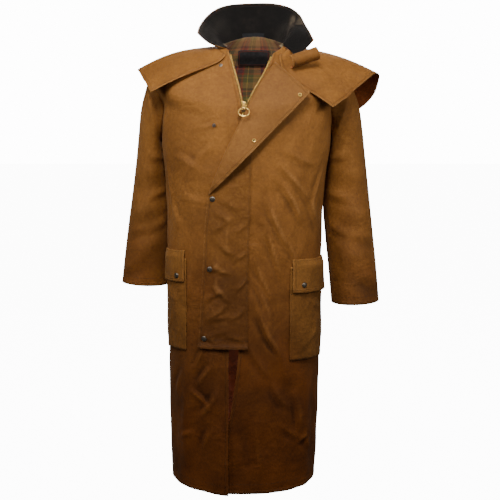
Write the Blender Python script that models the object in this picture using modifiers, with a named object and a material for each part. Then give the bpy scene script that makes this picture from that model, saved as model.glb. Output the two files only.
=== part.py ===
"""Long waxed-cotton riding coat with a shoulder cape and a corduroy collar.

The coat is filled out as it hangs when worn, hollow, with open neck, cuffs and hem.
Metres, +Z up. The front faces -Y and the wearer's left is +X. The origin is on the
middle of the neck, at the height of the back neck seam, where the shoulders carry it.
Angles go round the body in degrees: 0 is the front, 90 the wearer's left, 180 the back.
"""

import math
from collections import namedtuple

import bmesh
import bpy
import numpy as np
from mathutils import Matrix, Vector

# Cloth walls and the gaps between sewn pieces
CLOTH = 0.002
COLLAR_PLY = 0.0016
TAPE = 0.001
LINING = 0.001
GAP = 0.0003
SEAM_HALF_GAP = 0.0004
LAY = 0.0010

# Body form: each section is a rounded ring, named by the height of its side
HEM, ARMPIT, SHOULDER, NECK = -1.215, -0.270, -0.075, -0.012
ROUNDNESS = 0.87
Section = namedtuple("Section", "side_z front_z back_z half_width front_depth back_depth shift")
BODY = (
    Section(HEM, -1.218, -1.212, 0.204, 0.178, 0.172, -0.008),
    Section(-1.100, -1.102, -1.098, 0.208, 0.178, 0.170, -0.007),
    Section(-0.950, -0.950, -0.950, 0.211, 0.177, 0.168, -0.006),
    Section(-0.800, -0.800, -0.800, 0.211, 0.174, 0.164, -0.005),
    Section(-0.680, -0.680, -0.680, 0.211, 0.170, 0.158, -0.005),
    Section(-0.550, -0.550, -0.550, 0.213, 0.166, 0.150, -0.004),
    Section(-0.430, -0.430, -0.430, 0.215, 0.163, 0.145, -0.003),
    Section(-0.340, -0.342, -0.340, 0.222, 0.160, 0.145, -0.001),
    Section(ARMPIT, -0.282, -0.270, 0.230, 0.154, 0.143, 0.001),
    Section(-0.180, -0.212, -0.185, 0.231, 0.147, 0.136, 0.004),
    Section(SHOULDER, -0.136, -0.098, 0.224, 0.124, 0.116, 0.007),
    Section(-0.042, -0.090, -0.045, 0.150, 0.101, 0.094, 0.013),
    Section(NECK, -0.048, 0.002, 0.086, 0.084, 0.072, 0.020),
)

# Seams down the sides and over the shoulders, and how far the armholes cut into each panel
SIDE_SEAM, SHOULDER_SEAM = 95.0, 90.0
ARMHOLE_FRONT, ARMHOLE_BACK = 75.0, 110.0

# Front edges: where the right and the left front end, across the body
FrontEdge = namedtuple("FrontEdge", "side_z right_x left_x")
FRONT_EDGES = (
    FrontEdge(HEM, -0.046, -0.058),
    FrontEdge(-1.080, -0.047, -0.056),
    FrontEdge(-0.960, -0.0465, -0.0365),
    FrontEdge(-0.820, -0.0455, -0.0195),
    FrontEdge(-0.660, -0.0285, -0.0155),
    FrontEdge(-0.430, -0.018, -0.006),
    FrontEdge(-0.200, -0.011, 0.001),
    FrontEdge(-0.120, -0.012, 0.003),
    FrontEdge(SHOULDER, -0.018, 0.022),
    FrontEdge(-0.042, -0.031, 0.050),
    FrontEdge(NECK, -0.046, 0.073),
)
OVERLAP_TOP, OVERLAP_LIFT, OVERLAP_SPREAD = -0.880, 0.014, 14.0

# Largest folds: soft ridges, or troughs where the height is negative
Fold = namedtuple("Fold", "top_angle top_z bottom_angle bottom_z width height")
FOLDS = (
    Fold(6, -0.66, 31, -0.92, 6, 0.008),
    Fold(16, -0.68, 26, -0.84, 5, -0.004),
    Fold(14, -0.40, 30, -0.62, 7, 0.005),
    Fold(46, -0.88, 54, -1.24, 9, 0.007),
    Fold(66, -0.86, 64, -1.24, 8, -0.004),
    Fold(-40, -0.78, -48, -1.16, 6, 0.007),
    Fold(-29, -0.84, -33, -1.20, 8, -0.006),
    Fold(-66, -0.92, -64, -1.24, 8, -0.004),
    Fold(118, -0.72, 114, -1.25, 9, 0.008),
    Fold(149, -0.50, 144, -1.25, 9, 0.011),
    Fold(166, -0.62, 165, -1.25, 8, -0.006),
    Fold(182, -0.48, 186, -1.25, 9, 0.012),
    Fold(213, -0.56, 217, -1.25, 9, 0.011),
    Fold(244, -0.70, 248, -1.25, 9, 0.008),
)

# Sleeves: rings from the armhole to the cuff, by their outer and inner ends
Ring = namedtuple("Ring", "station outer_x outer_z inner_x inner_z half_depth centre_y")
LEFT_SLEEVE = (
    Ring(1.0, 0.288, -0.120, 0.2335, -0.276, 0.066, 0.010),
    Ring(2.0, 0.311, -0.178, 0.2265, -0.302, 0.074, 0.034),
    Ring(3.0, 0.323, -0.240, 0.222, -0.336, 0.078, 0.050),
    Ring(4.0, 0.334, -0.325, 0.2175, -0.390, 0.078, 0.058),
    Ring(5.0, 0.346, -0.428, 0.2165, -0.460, 0.076, 0.054),
    Ring(6.0, 0.356, -0.522, 0.223, -0.540, 0.073, 0.042),
    Ring(7.0, 0.366, -0.620, 0.232, -0.630, 0.069, 0.026),
    Ring(8.0, 0.374, -0.716, 0.240, -0.722, 0.065, 0.010),
)
RIGHT_SLEEVE = (
    Ring(1.0, 0.270, -0.122, 0.2320, -0.276, 0.066, 0.012),
    Ring(2.0, 0.288, -0.182, 0.2255, -0.302, 0.074, 0.034),
    Ring(3.0, 0.297, -0.244, 0.221, -0.336, 0.078, 0.050),
    Ring(4.0, 0.307, -0.326, 0.2155, -0.386, 0.078, 0.060),
    Ring(5.0, 0.320, -0.420, 0.2130, -0.450, 0.076, 0.063),
    Ring(6.0, 0.333, -0.508, 0.2135, -0.526, 0.072, 0.062),
    Ring(7.0, 0.344, -0.592, 0.2160, -0.602, 0.067, 0.057),
    Ring(8.0, 0.353, -0.671, 0.2195, -0.677, 0.062, 0.050),
)
SLEEVE_HEAD_GAP = 0.0008
# Elbow folds: place round the sleeve from the underarm by the front, and along its stations
SleeveFold = namedtuple("SleeveFold", "start_turn start_station end_turn end_station width height")
SLEEVE_FOLDS = (
    SleeveFold(0.10, 3.4, 0.42, 4.4, 0.06, 0.004),
    SleeveFold(0.14, 4.9, 0.46, 5.6, 0.06, 0.005),
    SleeveFold(0.12, 6.3, 0.40, 6.8, 0.06, 0.004),
    SleeveFold(0.60, 3.6, 0.90, 4.6, 0.06, 0.004),
    SleeveFold(0.58, 5.4, 0.88, 6.0, 0.06, 0.004),
)

# Cape and collar: the outer edge of each, by the place on the neck that it spreads from
Spread = namedtuple("Spread", "neck_angle x y z bulge")
CAPE = (
    Spread(-320, 0.227, -0.126, -0.177, 0.008),
    Spread(-290, 0.292, -0.060, -0.134, 0.014),
    Spread(-272, 0.352, 0.000, -0.091, 0.012),
    Spread(-252, 0.367, 0.075, -0.121, 0.018),
    Spread(-232, 0.335, 0.128, -0.182, 0.026),
    Spread(-212, 0.220, 0.166, -0.246, 0.030),
    Spread(-180, 0.006, 0.186, -0.286, 0.032),
    Spread(-148, -0.190, 0.162, -0.240, 0.030),
    Spread(-128, -0.258, 0.122, -0.170, 0.026),
    Spread(-108, -0.284, 0.062, -0.106, 0.018),
    Spread(-88, -0.292, 0.000, -0.082, 0.014),
    Spread(-70, -0.272, -0.052, -0.106, 0.014),
    Spread(-42, -0.247, -0.116, -0.138, 0.008),
)
CAPE_DROP, CAPE_SEAT = 0.007, 0.0009
CAPE_BOW_LEFT, CAPE_BOW_RIGHT, CAPE_BOW_WIDTH = 0.042, 0.015, 0.08
CAPE_FRONT_SHARE, CAPE_CLEAR = 0.16, 0.0055
COLLAR_RAISE = 0.0006
COLLAR_END_FROM, COLLAR_END_DROP, COLLAR_END_LIFT = -289.0, 0.022, 0.012
COLLAR = (
    Spread(-311, 0.179, -0.054, -0.003, -0.006),
    Spread(-293, 0.168, -0.008, 0.022, 0.009),
    Spread(-275, 0.158, 0.026, 0.042, 0.014),
    Spread(-256, 0.146, 0.056, 0.067, 0.014),
    Spread(-236, 0.122, 0.082, 0.087, 0.010),
    Spread(-212, 0.082, 0.100, 0.099, 0.006),
    Spread(-180, 0.020, 0.106, 0.101, 0.004),
    Spread(-146, -0.050, 0.095, 0.095, 0.006),
    Spread(-122, -0.082, 0.076, 0.083, 0.008),
    Spread(-103, -0.103, 0.050, 0.066, 0.008),
    Spread(-86, -0.118, 0.018, 0.046, 0.004),
    Spread(-70, -0.125, -0.018, 0.030, -0.002),
    Spread(-54, -0.127, -0.058, 0.014, -0.009),
)

# Storm flap: sewn to the left front, buttoned across to the right, its top turned back
FLAP_BOTTOM, FLAP_TURN = -0.812, -0.404
FlapRow = namedtuple("FlapRow", "z free_x seam_x")
FLAP_ROWS = (
    FlapRow(FLAP_BOTTOM, -0.126, 0.004),
    FlapRow(-0.580, -0.112, 0.007),
    FlapRow(-0.450, -0.104, 0.011),
    FlapRow(FLAP_TURN, -0.098, 0.012),
)
LapelRow = namedtuple("LapelRow", "share roll_x roll_z seam_x seam_z")
LAPEL_ROWS = (
    LapelRow(0.000, -0.098, FLAP_TURN, 0.012, FLAP_TURN),
    LapelRow(0.354, -0.047, -0.281, 0.016, -0.300),
    LapelRow(0.535, -0.015, -0.217, 0.022, -0.235),
    LapelRow(0.701, 0.016, -0.158, 0.038, -0.175),
    LapelRow(0.853, 0.042, -0.106, 0.066, -0.118),
    LapelRow(1.000, 0.078, -0.062, 0.096, -0.078),
)
LAPEL_CORNER = (0.1655, -0.139)
FLAP_LIFT = CLOTH + LAY
ROLL, ROLL_NIP, NIP_SHARE, NIP_SPREAD = 0.0055, 0.0028, 0.62, 0.14
LAPEL_LIFT_LOW, LAPEL_LIFT_TOP = 0.014, 0.007

# Pockets, by angles round the body and heights
Pocket = namedtuple(
    "Pocket", "side inner outer top bottom flap_top flap_bottom tilt full spring snap_angle snap_z"
)
POCKETS = (
    Pocket("left", 32.0, 86.0, -0.5995, -0.8535, -0.5795, -0.6690, 0.009, 0.006, 0.004, 42.0, -0.648),
    Pocket("right", -88.0, -44.0, -0.580, -0.830, -0.559, -0.644, 0.010, 0.003, 0.0015, -51.8, -0.6266),
)
POCKET_FLAP_OVERHANG = 1.6

# Zip: tapes under the front edges, the slider and its ring pull
ZIP_BOTTOM, TAPE_UNDER, TAPE_PROUD = -0.690, 0.009, 0.004
SLIDER_X, SLIDER_Z = -0.0045, -0.168
SLIDER_WIDTH, SLIDER_HEIGHT, SLIDER_DEPTH = 0.0105, 0.0150, 0.0050
BAIL_WIDTH, BAIL_RISE, BAIL_BAR = 0.0022, 0.0058, 0.0014
PULL_BAR, PULL_LEG_REACH, PULL_LEG_SPREAD = 0.0010, 0.0105, 0.0030
RING_HALF_WIDTH, RING_HALF_HEIGHT, RING_WIRE = 0.0140, 0.0140, 0.0017
PULL_TILT = 42.0

# Snap fasteners: places across and down the front, and the turned profiles as radius, height
CAP_PLACES = ((-0.0865, -0.4125), (-0.094, -0.598), (-0.110, -0.786))
STUD_PLACES = ((-0.066, -0.068), (-0.082, -0.222))
SOCKET_PLACES = ((0.94, 0.82), (0.505, 0.74))
CAP = ((0, 0.0032), (0.0034, 0.0030), (0.0060, 0.0020), (0.0075, 0.0007), (0.0075, 0), (0, 0))
STUD_POST = ((0, 0.0034), (0.0016, 0.0034), (0.0020, 0.0026), (0.0017, 0.0012))
STUD = (*STUD_POST, (0.0048, 0.0009), (0.0050, 0), (0, 0))
SOCKET_WELL = ((0, 0.0006), (0.0020, 0.0006), (0.0024, 0.0018), (0.0042, 0.0020))
SOCKET = (*SOCKET_WELL, (0.0054, 0.0008), (0.0054, 0), (0, 0))
SNAP_SIDES = 16

# Lining, label and hanging loop inside the back neck
LINING_BOTTOM, LINING_SEAM, LINING_LAY = -0.470, 6.0, 0.0018
LINING_PUFF, LINING_PUFF_FROM, LINING_FRONT = 0.006, -0.060, 58.0
LABEL_LAY = 0.0022
LABEL_X, LABEL_WIDTH, LABEL_TOP, LABEL_BOTTOM = 0.022, 0.090, -0.027, -0.054
LOOP_HALF_ANGLE, LOOP_LOW, LOOP_HIGH = 18.0, 0.02, 0.17

# Throat tab: a short strap rolled over under the left end of the collar
TAB_START, TAB_END = Vector((0.116, -0.0995, -0.0585)), Vector((0.186, -0.0745, -0.0360))
TAB_RADIUS, TAB_FIRST, TAB_LAST = 0.0165, 125.0, -60.0

# Rows and columns of each piece: the skirt, the armhole and the shoulder have their own spacing
SKIRT_ROWS, ARMHOLE_ROWS, SHOULDER_ROWS = 14, 9, 4
PANEL_ROWS = SKIRT_ROWS + ARMHOLE_ROWS + SHOULDER_ROWS
FRONT_GRID, SLEEVE_GRID = (11, PANEL_ROWS), (2 * ARMHOLE_ROWS, 15)
BACK_GRID, YOKE_GRID = (20, SKIRT_ROWS), (20, ARMHOLE_ROWS + SHOULDER_ROWS)
CAPE_GRID, COLLAR_GRID, TAB_GRID = (40, 7), (30, 4), (6, 10)
FLAP_LOWER_ROWS, FLAP_UPPER_ROWS, FLAP_COLUMNS = 7, 15, 24
POCKET_GRID, POCKET_FLAP_GRID, TAPE_GRID = (9, 9), (9, 6), (1, 30)
LINING_COLUMNS, LABEL_GRID, LOOP_GRID, RING_SIDES = 20, (6, 2), (8, 2), 28


class SmoothTable:
    """A table whose rows are joined by a smooth curve, read by its first column."""

    def __init__(self, rows):
        table = np.array(rows, float)
        self.keys = table[:, 0]
        self.values = table[:, 1:]
        self.slopes = np.gradient(self.values, self.keys, axis=0)

    def __call__(self, key):
        key = min(max(key, self.keys[0]), self.keys[-1])
        i = min(int(np.searchsorted(self.keys, key, side="right")) - 1, len(self.keys) - 2)
        span = self.keys[i + 1] - self.keys[i]
        t = (key - self.keys[i]) / span
        start = self.values[i] * (1 + 2 * t) * (1 - t) ** 2 + self.slopes[i] * span * t * (1 - t) ** 2
        end = self.values[i + 1] * t * t * (3 - 2 * t) + self.slopes[i + 1] * span * t * t * (t - 1)
        return start + end


BODY_FORM = SmoothTable(BODY)
FRONT_EDGE = SmoothTable(FRONT_EDGES)
CAPE_EDGE = SmoothTable(CAPE)
COLLAR_EDGE = SmoothTable(COLLAR)
FLAP_EDGES = SmoothTable(FLAP_ROWS)
LAPEL_EDGES = SmoothTable(LAPEL_ROWS)


def ease(t):
    """0 below 0, 1 above 1, and a smooth step between."""
    t = min(max(t, 0.0), 1.0)
    return t * t * (3 - 2 * t)


def mix(a, b, t):
    return a + (b - a) * t


# Body surface


def bare_body(angle, level):
    """Point on the coat's outside, without its folds."""
    front_z, back_z, half_width, front_depth, back_depth, shift = BODY_FORM(level)
    sine, cosine = math.sin(math.radians(angle)), math.cos(math.radians(angle))
    across = math.copysign(abs(sine) ** ROUNDNESS, sine)
    forward = math.copysign(abs(cosine) ** ROUNDNESS, cosine)
    depth, end_z = (front_depth, front_z) if cosine > 0 else (back_depth, back_z)
    return Vector((shift + half_width * across, -depth * forward, level + (end_z - level) * cosine**2))


def body_normal(angle, level):
    turn, climb = 1.5, 0.006
    round_it = bare_body(angle + turn, level) - bare_body(angle - turn, level)
    low, high = max(level - climb, HEM), min(level + climb, NECK)
    up_it = bare_body(angle, high) - bare_body(angle, low)
    return round_it.cross(up_it).normalized()


def fold_height(angle, level):
    height = 0.0
    for fold in FOLDS:
        t = (fold.top_z - level) / (fold.top_z - fold.bottom_z)
        if 0 < t < 1:
            away = (angle - mix(fold.top_angle, fold.bottom_angle, t)) / fold.width
            height += fold.height * math.exp(-away * away) * math.sin(math.pi * t) ** 0.7
    return height


def body_point(angle, level, lift=0.0):
    """Point on the coat's outside, folds included, moved out by lift."""
    return bare_body(angle, level) + body_normal(angle, level) * (lift + fold_height(angle, level))


def front_angle(x, level):
    half_width, shift = BODY_FORM(level)[2], BODY_FORM(level)[5]
    across = min(max((x - shift) / half_width, -0.999), 0.999)
    return math.degrees(math.asin(math.copysign(abs(across) ** (1 / ROUNDNESS), across)))


def front_place(x, z):
    """Angle and level of the front's point that is seen at x, z from straight ahead."""
    low, high = HEM, NECK
    for _ in range(32):
        level = (low + high) / 2
        if bare_body(front_angle(x, level), level).z < z:
            low = level
        else:
            high = level
    return front_angle(x, level), level


def on_front(x, z, lift=0.0):
    return body_point(*front_place(x, z), lift)


def armhole_limit(level, cut):
    """Angle where a panel ends beside the armhole, or at the side or shoulder seam."""
    t = (level - ARMPIT) / (SHOULDER - ARMPIT)
    seam = mix(SIDE_SEAM, SHOULDER_SEAM, ease(t))
    if not 0 < t < 1:
        return seam
    return mix(seam, cut, math.sin(math.pi * t) ** 0.6)


def seam_angle(angle, level):
    """Half of a seam's gap, as an angle at that height."""
    per_degree = (bare_body(angle + 0.5, level) - bare_body(angle - 0.5, level)).length
    return SEAM_HALF_GAP / per_degree


def panel_levels():
    skirt = np.linspace(HEM, ARMPIT, SKIRT_ROWS + 1)[:-1]
    armhole = np.linspace(ARMPIT, SHOULDER, ARMHOLE_ROWS + 1)[:-1]
    return [*skirt, *armhole, *np.linspace(SHOULDER, NECK, SHOULDER_ROWS + 1)]


LEVELS = panel_levels()


# Helpers that make objects


def material(name, colour, roughness, metallic=0.0):
    made = bpy.data.materials.new(name)
    made.use_nodes = True
    shader = made.node_tree.nodes["Principled BSDF"]
    shader.inputs["Base Color"].default_value = (*colour, 1.0)
    shader.inputs["Roughness"].default_value = roughness
    shader.inputs["Metallic"].default_value = metallic
    return made


def add(name, mesh, finish):
    mesh.materials.append(finish)
    made = bpy.data.objects.new(name, mesh)
    COAT.objects.link(made)
    return made


def cloth(name, surface, grid, thickness, finish, tube=False):
    """A sewn piece: a grid laid on surface(u, v), its faces outwards, with a wall behind it."""
    columns, rows = grid
    work = bmesh.new()
    bmesh.ops.create_grid(work, x_segments=columns, y_segments=rows, size=0.5)
    for vert in work.verts:
        column, row = round((vert.co.x + 0.5) * columns), round((vert.co.y + 0.5) * rows)
        vert.co = surface(column / columns, row / rows)
    if tube:
        bmesh.ops.remove_doubles(work, verts=work.verts, dist=1e-6)
    mesh = bpy.data.meshes.new(name)
    work.to_mesh(mesh)
    work.free()
    mesh.shade_smooth()
    made = add(name, mesh, finish)
    wall = made.modifiers.new("wall", "SOLIDIFY")
    wall.thickness = thickness
    wall.offset = -1.0
    wall.use_even_offset = True
    return made


def facing(point, normal):
    """Matrix that stands a small piece on a surface."""
    turned = normal.to_track_quat("Z", "Y").to_matrix().to_4x4()
    return Matrix.Translation(point) @ turned


def turned_piece(name, profile, place, finish):
    spots = [(radius, 0, height) for radius, height in profile]
    steps = [(i, i + 1) for i in range(len(profile) - 1)]
    mesh = bpy.data.meshes.new(name)
    mesh.from_pydata(spots, steps, [])
    made = add(name, mesh, finish)
    made.matrix_world = place
    lathe = made.modifiers.new("lathe", "SCREW")
    lathe.axis = "Z"
    lathe.steps = lathe.render_steps = SNAP_SIDES
    lathe.use_merge_vertices = True
    lathe.merge_threshold = 1e-5
    return made


# Body panels


def front_surface(side):
    left = side == "left"

    def surface(u, v):
        level = LEVELS[round(v * PANEL_ROWS)]
        edge = front_angle(FRONT_EDGE(level)[1 if left else 0], level)
        limit = armhole_limit(level, ARMHOLE_FRONT)
        limit -= seam_angle(limit, level)
        angle = mix(edge, limit, u) if left else mix(-limit, edge, u)
        lift = 0.0
        if not left:
            near = math.exp(-(((angle - edge) / OVERLAP_SPREAD) ** 2))
            lift = OVERLAP_LIFT * near * ease((OVERLAP_TOP - level) / (OVERLAP_TOP - HEM))
        return body_point(angle, level, lift)

    return surface


def back_surface(levels):
    rows = len(levels) - 1

    def surface(u, v):
        level = levels[round(v * rows)]
        limit = armhole_limit(level, ARMHOLE_BACK)
        limit += seam_angle(limit, level)
        return body_point(mix(limit, 360 - limit, u), level)

    return surface


# Sleeves


def armhole_point(sign, turn):
    """Place on the armhole: 0 is the armpit, then up the front, 0.5 the shoulder, and down the back."""
    climb = 1 - abs(2 * turn - 1)
    level = mix(ARMPIT, SHOULDER, climb)
    limit = armhole_limit(level, ARMHOLE_FRONT if turn < 0.5 else ARMHOLE_BACK)
    return body_point(sign * limit if sign > 0 else 360 - limit, level)


def sleeve_fold(turn, station):
    height = 0.0
    for fold in SLEEVE_FOLDS:
        t = (turn - fold.start_turn) / (fold.end_turn - fold.start_turn)
        if 0 < t < 1:
            away = (station - mix(fold.start_station, fold.end_station, t)) / (fold.width * 8)
            height += fold.height * math.exp(-away * away) * math.sin(math.pi * t)
    return height


def sleeve_surface(side, rings):
    sign = 1 if side == "left" else -1
    form = SmoothTable(rings)
    last = rings[-1].station

    def ring_point(turn, station):
        outer_x, outer_z, inner_x, inner_z, half_depth, centre_y = form(station)
        outer, inner = Vector((outer_x, 0, outer_z)), Vector((inner_x, 0, inner_z))
        swing, reach = math.sin(2 * math.pi * turn), math.cos(2 * math.pi * turn)
        grow = 1 + sleeve_fold(turn, station) / half_depth
        point = (outer + inner) / 2 - (outer - inner) / 2 * reach * grow
        point.y = centre_y - half_depth * swing * grow
        point.x *= sign
        return point

    def surface(u, v):
        turn = (u if sign > 0 else 1 - u) % 1.0
        station = (1 - v) * last
        if station >= 1:
            return ring_point(turn, station)
        edge, first = armhole_point(sign, turn), ring_point(turn, 1.0)
        edge = edge + (first - edge).normalized() * SLEEVE_HEAD_GAP
        return edge.lerp(first, station)

    return surface


# Cape and collar


def spread_surface(edge_form, first, last, root_of):
    """Cloth that leaves the neck at root_of(angle) and reaches the outer edge in a low arch."""

    def surface(u, v):
        angle = mix(first, last, u)
        root = root_of(angle)
        x, y, z, bulge = edge_form(angle)
        run = Vector((x, y, z)) - root
        level_run = Vector((run.x, run.y, 0))
        arch = Vector((0, 0, level_run.length)) - level_run.normalized() * run.z
        return root + run * v + arch.normalized() * bulge * math.sin(math.pi * v)

    return surface


def cape_surface(u, v):
    """The cape, its two front edges bowed down over the chest, most where the lapel hides it."""
    bow = CAPE_BOW_LEFT if u < 0.5 else CAPE_BOW_RIGHT
    bow *= math.exp(-((min(u, 1 - u) / CAPE_BOW_WIDTH) ** 2)) * math.sin(math.pi * v**0.45)
    point = CAPE_SPREAD(u, v) + Vector((0, -0.4, -1)) * bow
    if v > 0 and min(u, 1 - u) < CAPE_FRONT_SHARE:
        point.y = min(point.y, on_front(point.x, point.z).y - CAPE_CLEAR)
    return point


def cape_root(angle):
    return body_point(angle, NECK - CAPE_DROP, CAPE_SEAT)


def collar_root(angle):
    """The collar's seam: it runs down over the front at the left end."""
    share = ease((COLLAR_END_FROM - angle) / (COLLAR_END_FROM - COLLAR[0].neck_angle))
    level, lift = NECK - COLLAR_END_DROP * share, COLLAR_END_LIFT * share
    top, below = body_point(angle, level, lift), body_point(angle, level - 0.004, lift)
    return top + (top - below).normalized() * COLLAR_RAISE


def moved_in(surface, distance):
    """The same surface, moved behind its face by distance."""
    step = 1e-3

    def inner(u, v):
        across = surface(min(u + step, 1), v) - surface(max(u - step, 0), v)
        up_it = surface(u, min(v + step, 1)) - surface(u, max(v - step, 0))
        return surface(u, v) - across.cross(up_it).normalized() * distance

    return inner


def part_of(surface, first_u, last_u, first_v, last_v):
    """A patch cut out of a surface."""
    return lambda u, v: surface(mix(first_u, last_u, u), mix(first_v, last_v, v))


# Storm flap


def lapel_point(share, across):
    """Point on the turned-back top of the flap: share up it, across from its seam to its free edge."""
    roll_x, roll_z, seam_x, seam_z = LAPEL_EDGES(share)
    roll, seam = np.array((roll_x, roll_z)), np.array((seam_x, seam_z))
    first = np.array((LAPEL_ROWS[0].roll_x, LAPEL_ROWS[0].roll_z))
    edge = mix(first, np.array(LAPEL_CORNER), share)
    radius = ROLL - ROLL_NIP * math.exp(-(((share - NIP_SHARE) / NIP_SPREAD) ** 2))
    radius *= ease(share / 0.12)
    under, over = np.linalg.norm(seam - roll), np.linalg.norm(edge - roll)
    spare = (math.pi / 2 - 1) * radius
    cloth_under, cloth_over = under + spare, over + spare
    distance = mix(-cloth_under, cloth_over, across)
    bend = min(max(distance / max(radius, 1e-6) + math.pi / 2, 0), math.pi)
    beyond = max(abs(distance) - math.pi / 2 * radius, 0)
    sideways = radius * (1 - math.sin(bend)) + beyond
    toward = (seam - roll) / under if distance < 0 else (edge - roll) / max(over, 1e-6)
    x, z = roll + toward * sideways
    rise = radius * (1 - math.cos(bend))
    if distance > 0 and over > 1e-6:
        lift = mix(LAPEL_LIFT_LOW, LAPEL_LIFT_TOP, share)
        rise += lift * ease(sideways / over) * ease((share - 0.1) / 0.3)
    return on_front(x, z, FLAP_LIFT) - Vector((0, rise, 0))


def flap_surface(u, v):
    """The whole flap, from its free edge to its seam, bottom to top."""
    row = v * (FLAP_LOWER_ROWS + FLAP_UPPER_ROWS)
    if row < FLAP_LOWER_ROWS:
        z = mix(FLAP_BOTTOM, FLAP_TURN, row / FLAP_LOWER_ROWS)
        free_x, seam_x = FLAP_EDGES(z)
        return on_front(mix(free_x, seam_x, u), z, FLAP_LIFT)
    return lapel_point((row - FLAP_LOWER_ROWS) / FLAP_UPPER_ROWS, 1 - u)


# Pockets


def pocket_full(pocket, u):
    """How far the middle of a pocket stands off the coat."""
    return pocket.full * max(math.sin(math.pi * min(max(u, 0), 1)), 0) ** 0.5


def pocket_level(pocket, u, level):
    """Height on a pocket, which is set a little higher at its front end."""
    front = 1 - u if pocket.side == "left" else u
    return level + pocket.tilt * (front - 0.5)


def pocket_surface(pocket):
    def surface(u, v):
        full = pocket_full(pocket, u) * math.sin(math.pi * min(v + 0.12, 1)) ** 0.5
        level = pocket_level(pocket, u, mix(pocket.bottom, pocket.top, v))
        return body_point(mix(pocket.inner, pocket.outer, u), level, CLOTH + LAY + full)

    return surface


def pocket_flap_surface(pocket):
    inner, outer = pocket.inner + POCKET_FLAP_OVERHANG, pocket.outer + POCKET_FLAP_OVERHANG
    if pocket.side == "right":
        inner, outer = pocket.inner - POCKET_FLAP_OVERHANG, pocket.outer - POCKET_FLAP_OVERHANG

    def surface(u, v):
        over_pocket = CLOTH + LAY + pocket_full(pocket, u) * ease((1 - v) / 0.25)
        lift = CLOTH + LAY + over_pocket * ease((1 - v) / 0.2) + pocket.spring * (1 - v) ** 2
        level = pocket_level(pocket, u, mix(pocket.flap_bottom, pocket.flap_top, v))
        return body_point(mix(inner, outer, u), level, lift)

    return surface


# Zip


def tape_surface(side):
    left = side == "left"

    def surface(u, v):
        level = mix(ZIP_BOTTOM, NECK - 0.002, v)
        edge = FRONT_EDGE(level)[1 if left else 0]
        span = (edge - TAPE_PROUD, edge + TAPE_UNDER) if left else (edge - TAPE_UNDER, edge + TAPE_PROUD)
        return body_point(front_angle(mix(*span, u), level), level, -CLOTH - LAY)

    return surface


def joined(name, pieces, finish):
    """One solid from closed meshes that overlap."""
    base = pieces[0]
    for other in pieces[1:]:
        union = base.modifiers.new("union", "BOOLEAN")
        union.operation = "UNION"
        union.object = other
    bpy.context.view_layer.update()
    graph = bpy.context.evaluated_depsgraph_get()
    mesh = bpy.data.meshes.new_from_object(base.evaluated_get(graph))
    mesh.name = name
    mesh.materials.clear()
    place = base.matrix_world.copy()
    for piece in pieces:
        bpy.data.objects.remove(piece)
    made = add(name, mesh, finish)
    made.matrix_world = place
    return made


def block(name, size, centre, bevel):
    work = bmesh.new()
    bmesh.ops.create_cube(work, size=1.0)
    bmesh.ops.scale(work, vec=size, verts=work.verts)
    bmesh.ops.bevel(work, geom=work.edges, offset=bevel, segments=2, profile=0.5, affect="EDGES")
    bmesh.ops.translate(work, vec=centre, verts=work.verts)
    mesh = bpy.data.meshes.new(name)
    work.to_mesh(mesh)
    work.free()
    made = bpy.data.objects.new(name, mesh)
    COAT.objects.link(made)
    return made


def wire(name, points, radius, closed=False):
    """A round bar along points, as a closed mesh."""
    curve = bpy.data.curves.new(name, "CURVE")
    curve.dimensions = "3D"
    curve.bevel_depth = radius
    curve.bevel_resolution = 2
    curve.use_fill_caps = True
    line = curve.splines.new("POLY")
    line.points.add(len(points) - 1)
    for spot, point in zip(line.points, points):
        spot.co = (*point, 1)
    line.use_cyclic_u = closed
    drawn = bpy.data.objects.new(name, curve)
    COAT.objects.link(drawn)
    bpy.context.view_layer.update()
    mesh = bpy.data.meshes.new_from_object(drawn.evaluated_get(bpy.context.evaluated_depsgraph_get()))
    bpy.data.objects.remove(drawn)
    work = bmesh.new()
    work.from_mesh(mesh)
    bmesh.ops.remove_doubles(work, verts=work.verts, dist=1e-6)
    bmesh.ops.recalc_face_normals(work, faces=work.faces)
    work.to_mesh(mesh)
    work.free()
    made = bpy.data.objects.new(name, mesh)
    COAT.objects.link(made)
    return made


def zip_slider(finish):
    """The slider rides on the chain and carries a bail that the pull swings on."""
    body = block("body", (SLIDER_WIDTH, SLIDER_DEPTH, SLIDER_HEIGHT), (0, 0, 0), 0.0012)
    face = -SLIDER_DEPTH / 2
    arch = [
        (0, face + BAIL_BAR, SLIDER_HEIGHT * 0.36),
        (0, face - BAIL_RISE * 0.7, SLIDER_HEIGHT * 0.30),
        (0, face - BAIL_RISE, SLIDER_HEIGHT * 0.10),
        (0, face - BAIL_RISE, -SLIDER_HEIGHT * 0.16),
        (0, face - BAIL_RISE * 0.7, -SLIDER_HEIGHT * 0.34),
        (0, face + BAIL_BAR, -SLIDER_HEIGHT * 0.40),
    ]
    bail = wire("bail", arch, BAIL_WIDTH / 2)
    made = joined("zip_slider", [body, bail], finish)
    made.location = slider_centre()
    return made


def slider_centre():
    return on_front(SLIDER_X, SLIDER_Z, 0.0) - Vector((0, SLIDER_DEPTH / 2 - 0.0005, 0))


def pull_pivot():
    """Middle of the pull's cross bar, between the slider's face and its bail."""
    rise = (BAIL_RISE - BAIL_WIDTH / 2) / 2
    return slider_centre() + Vector((0, -SLIDER_DEPTH / 2 - rise, -SLIDER_HEIGHT * 0.05))


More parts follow.
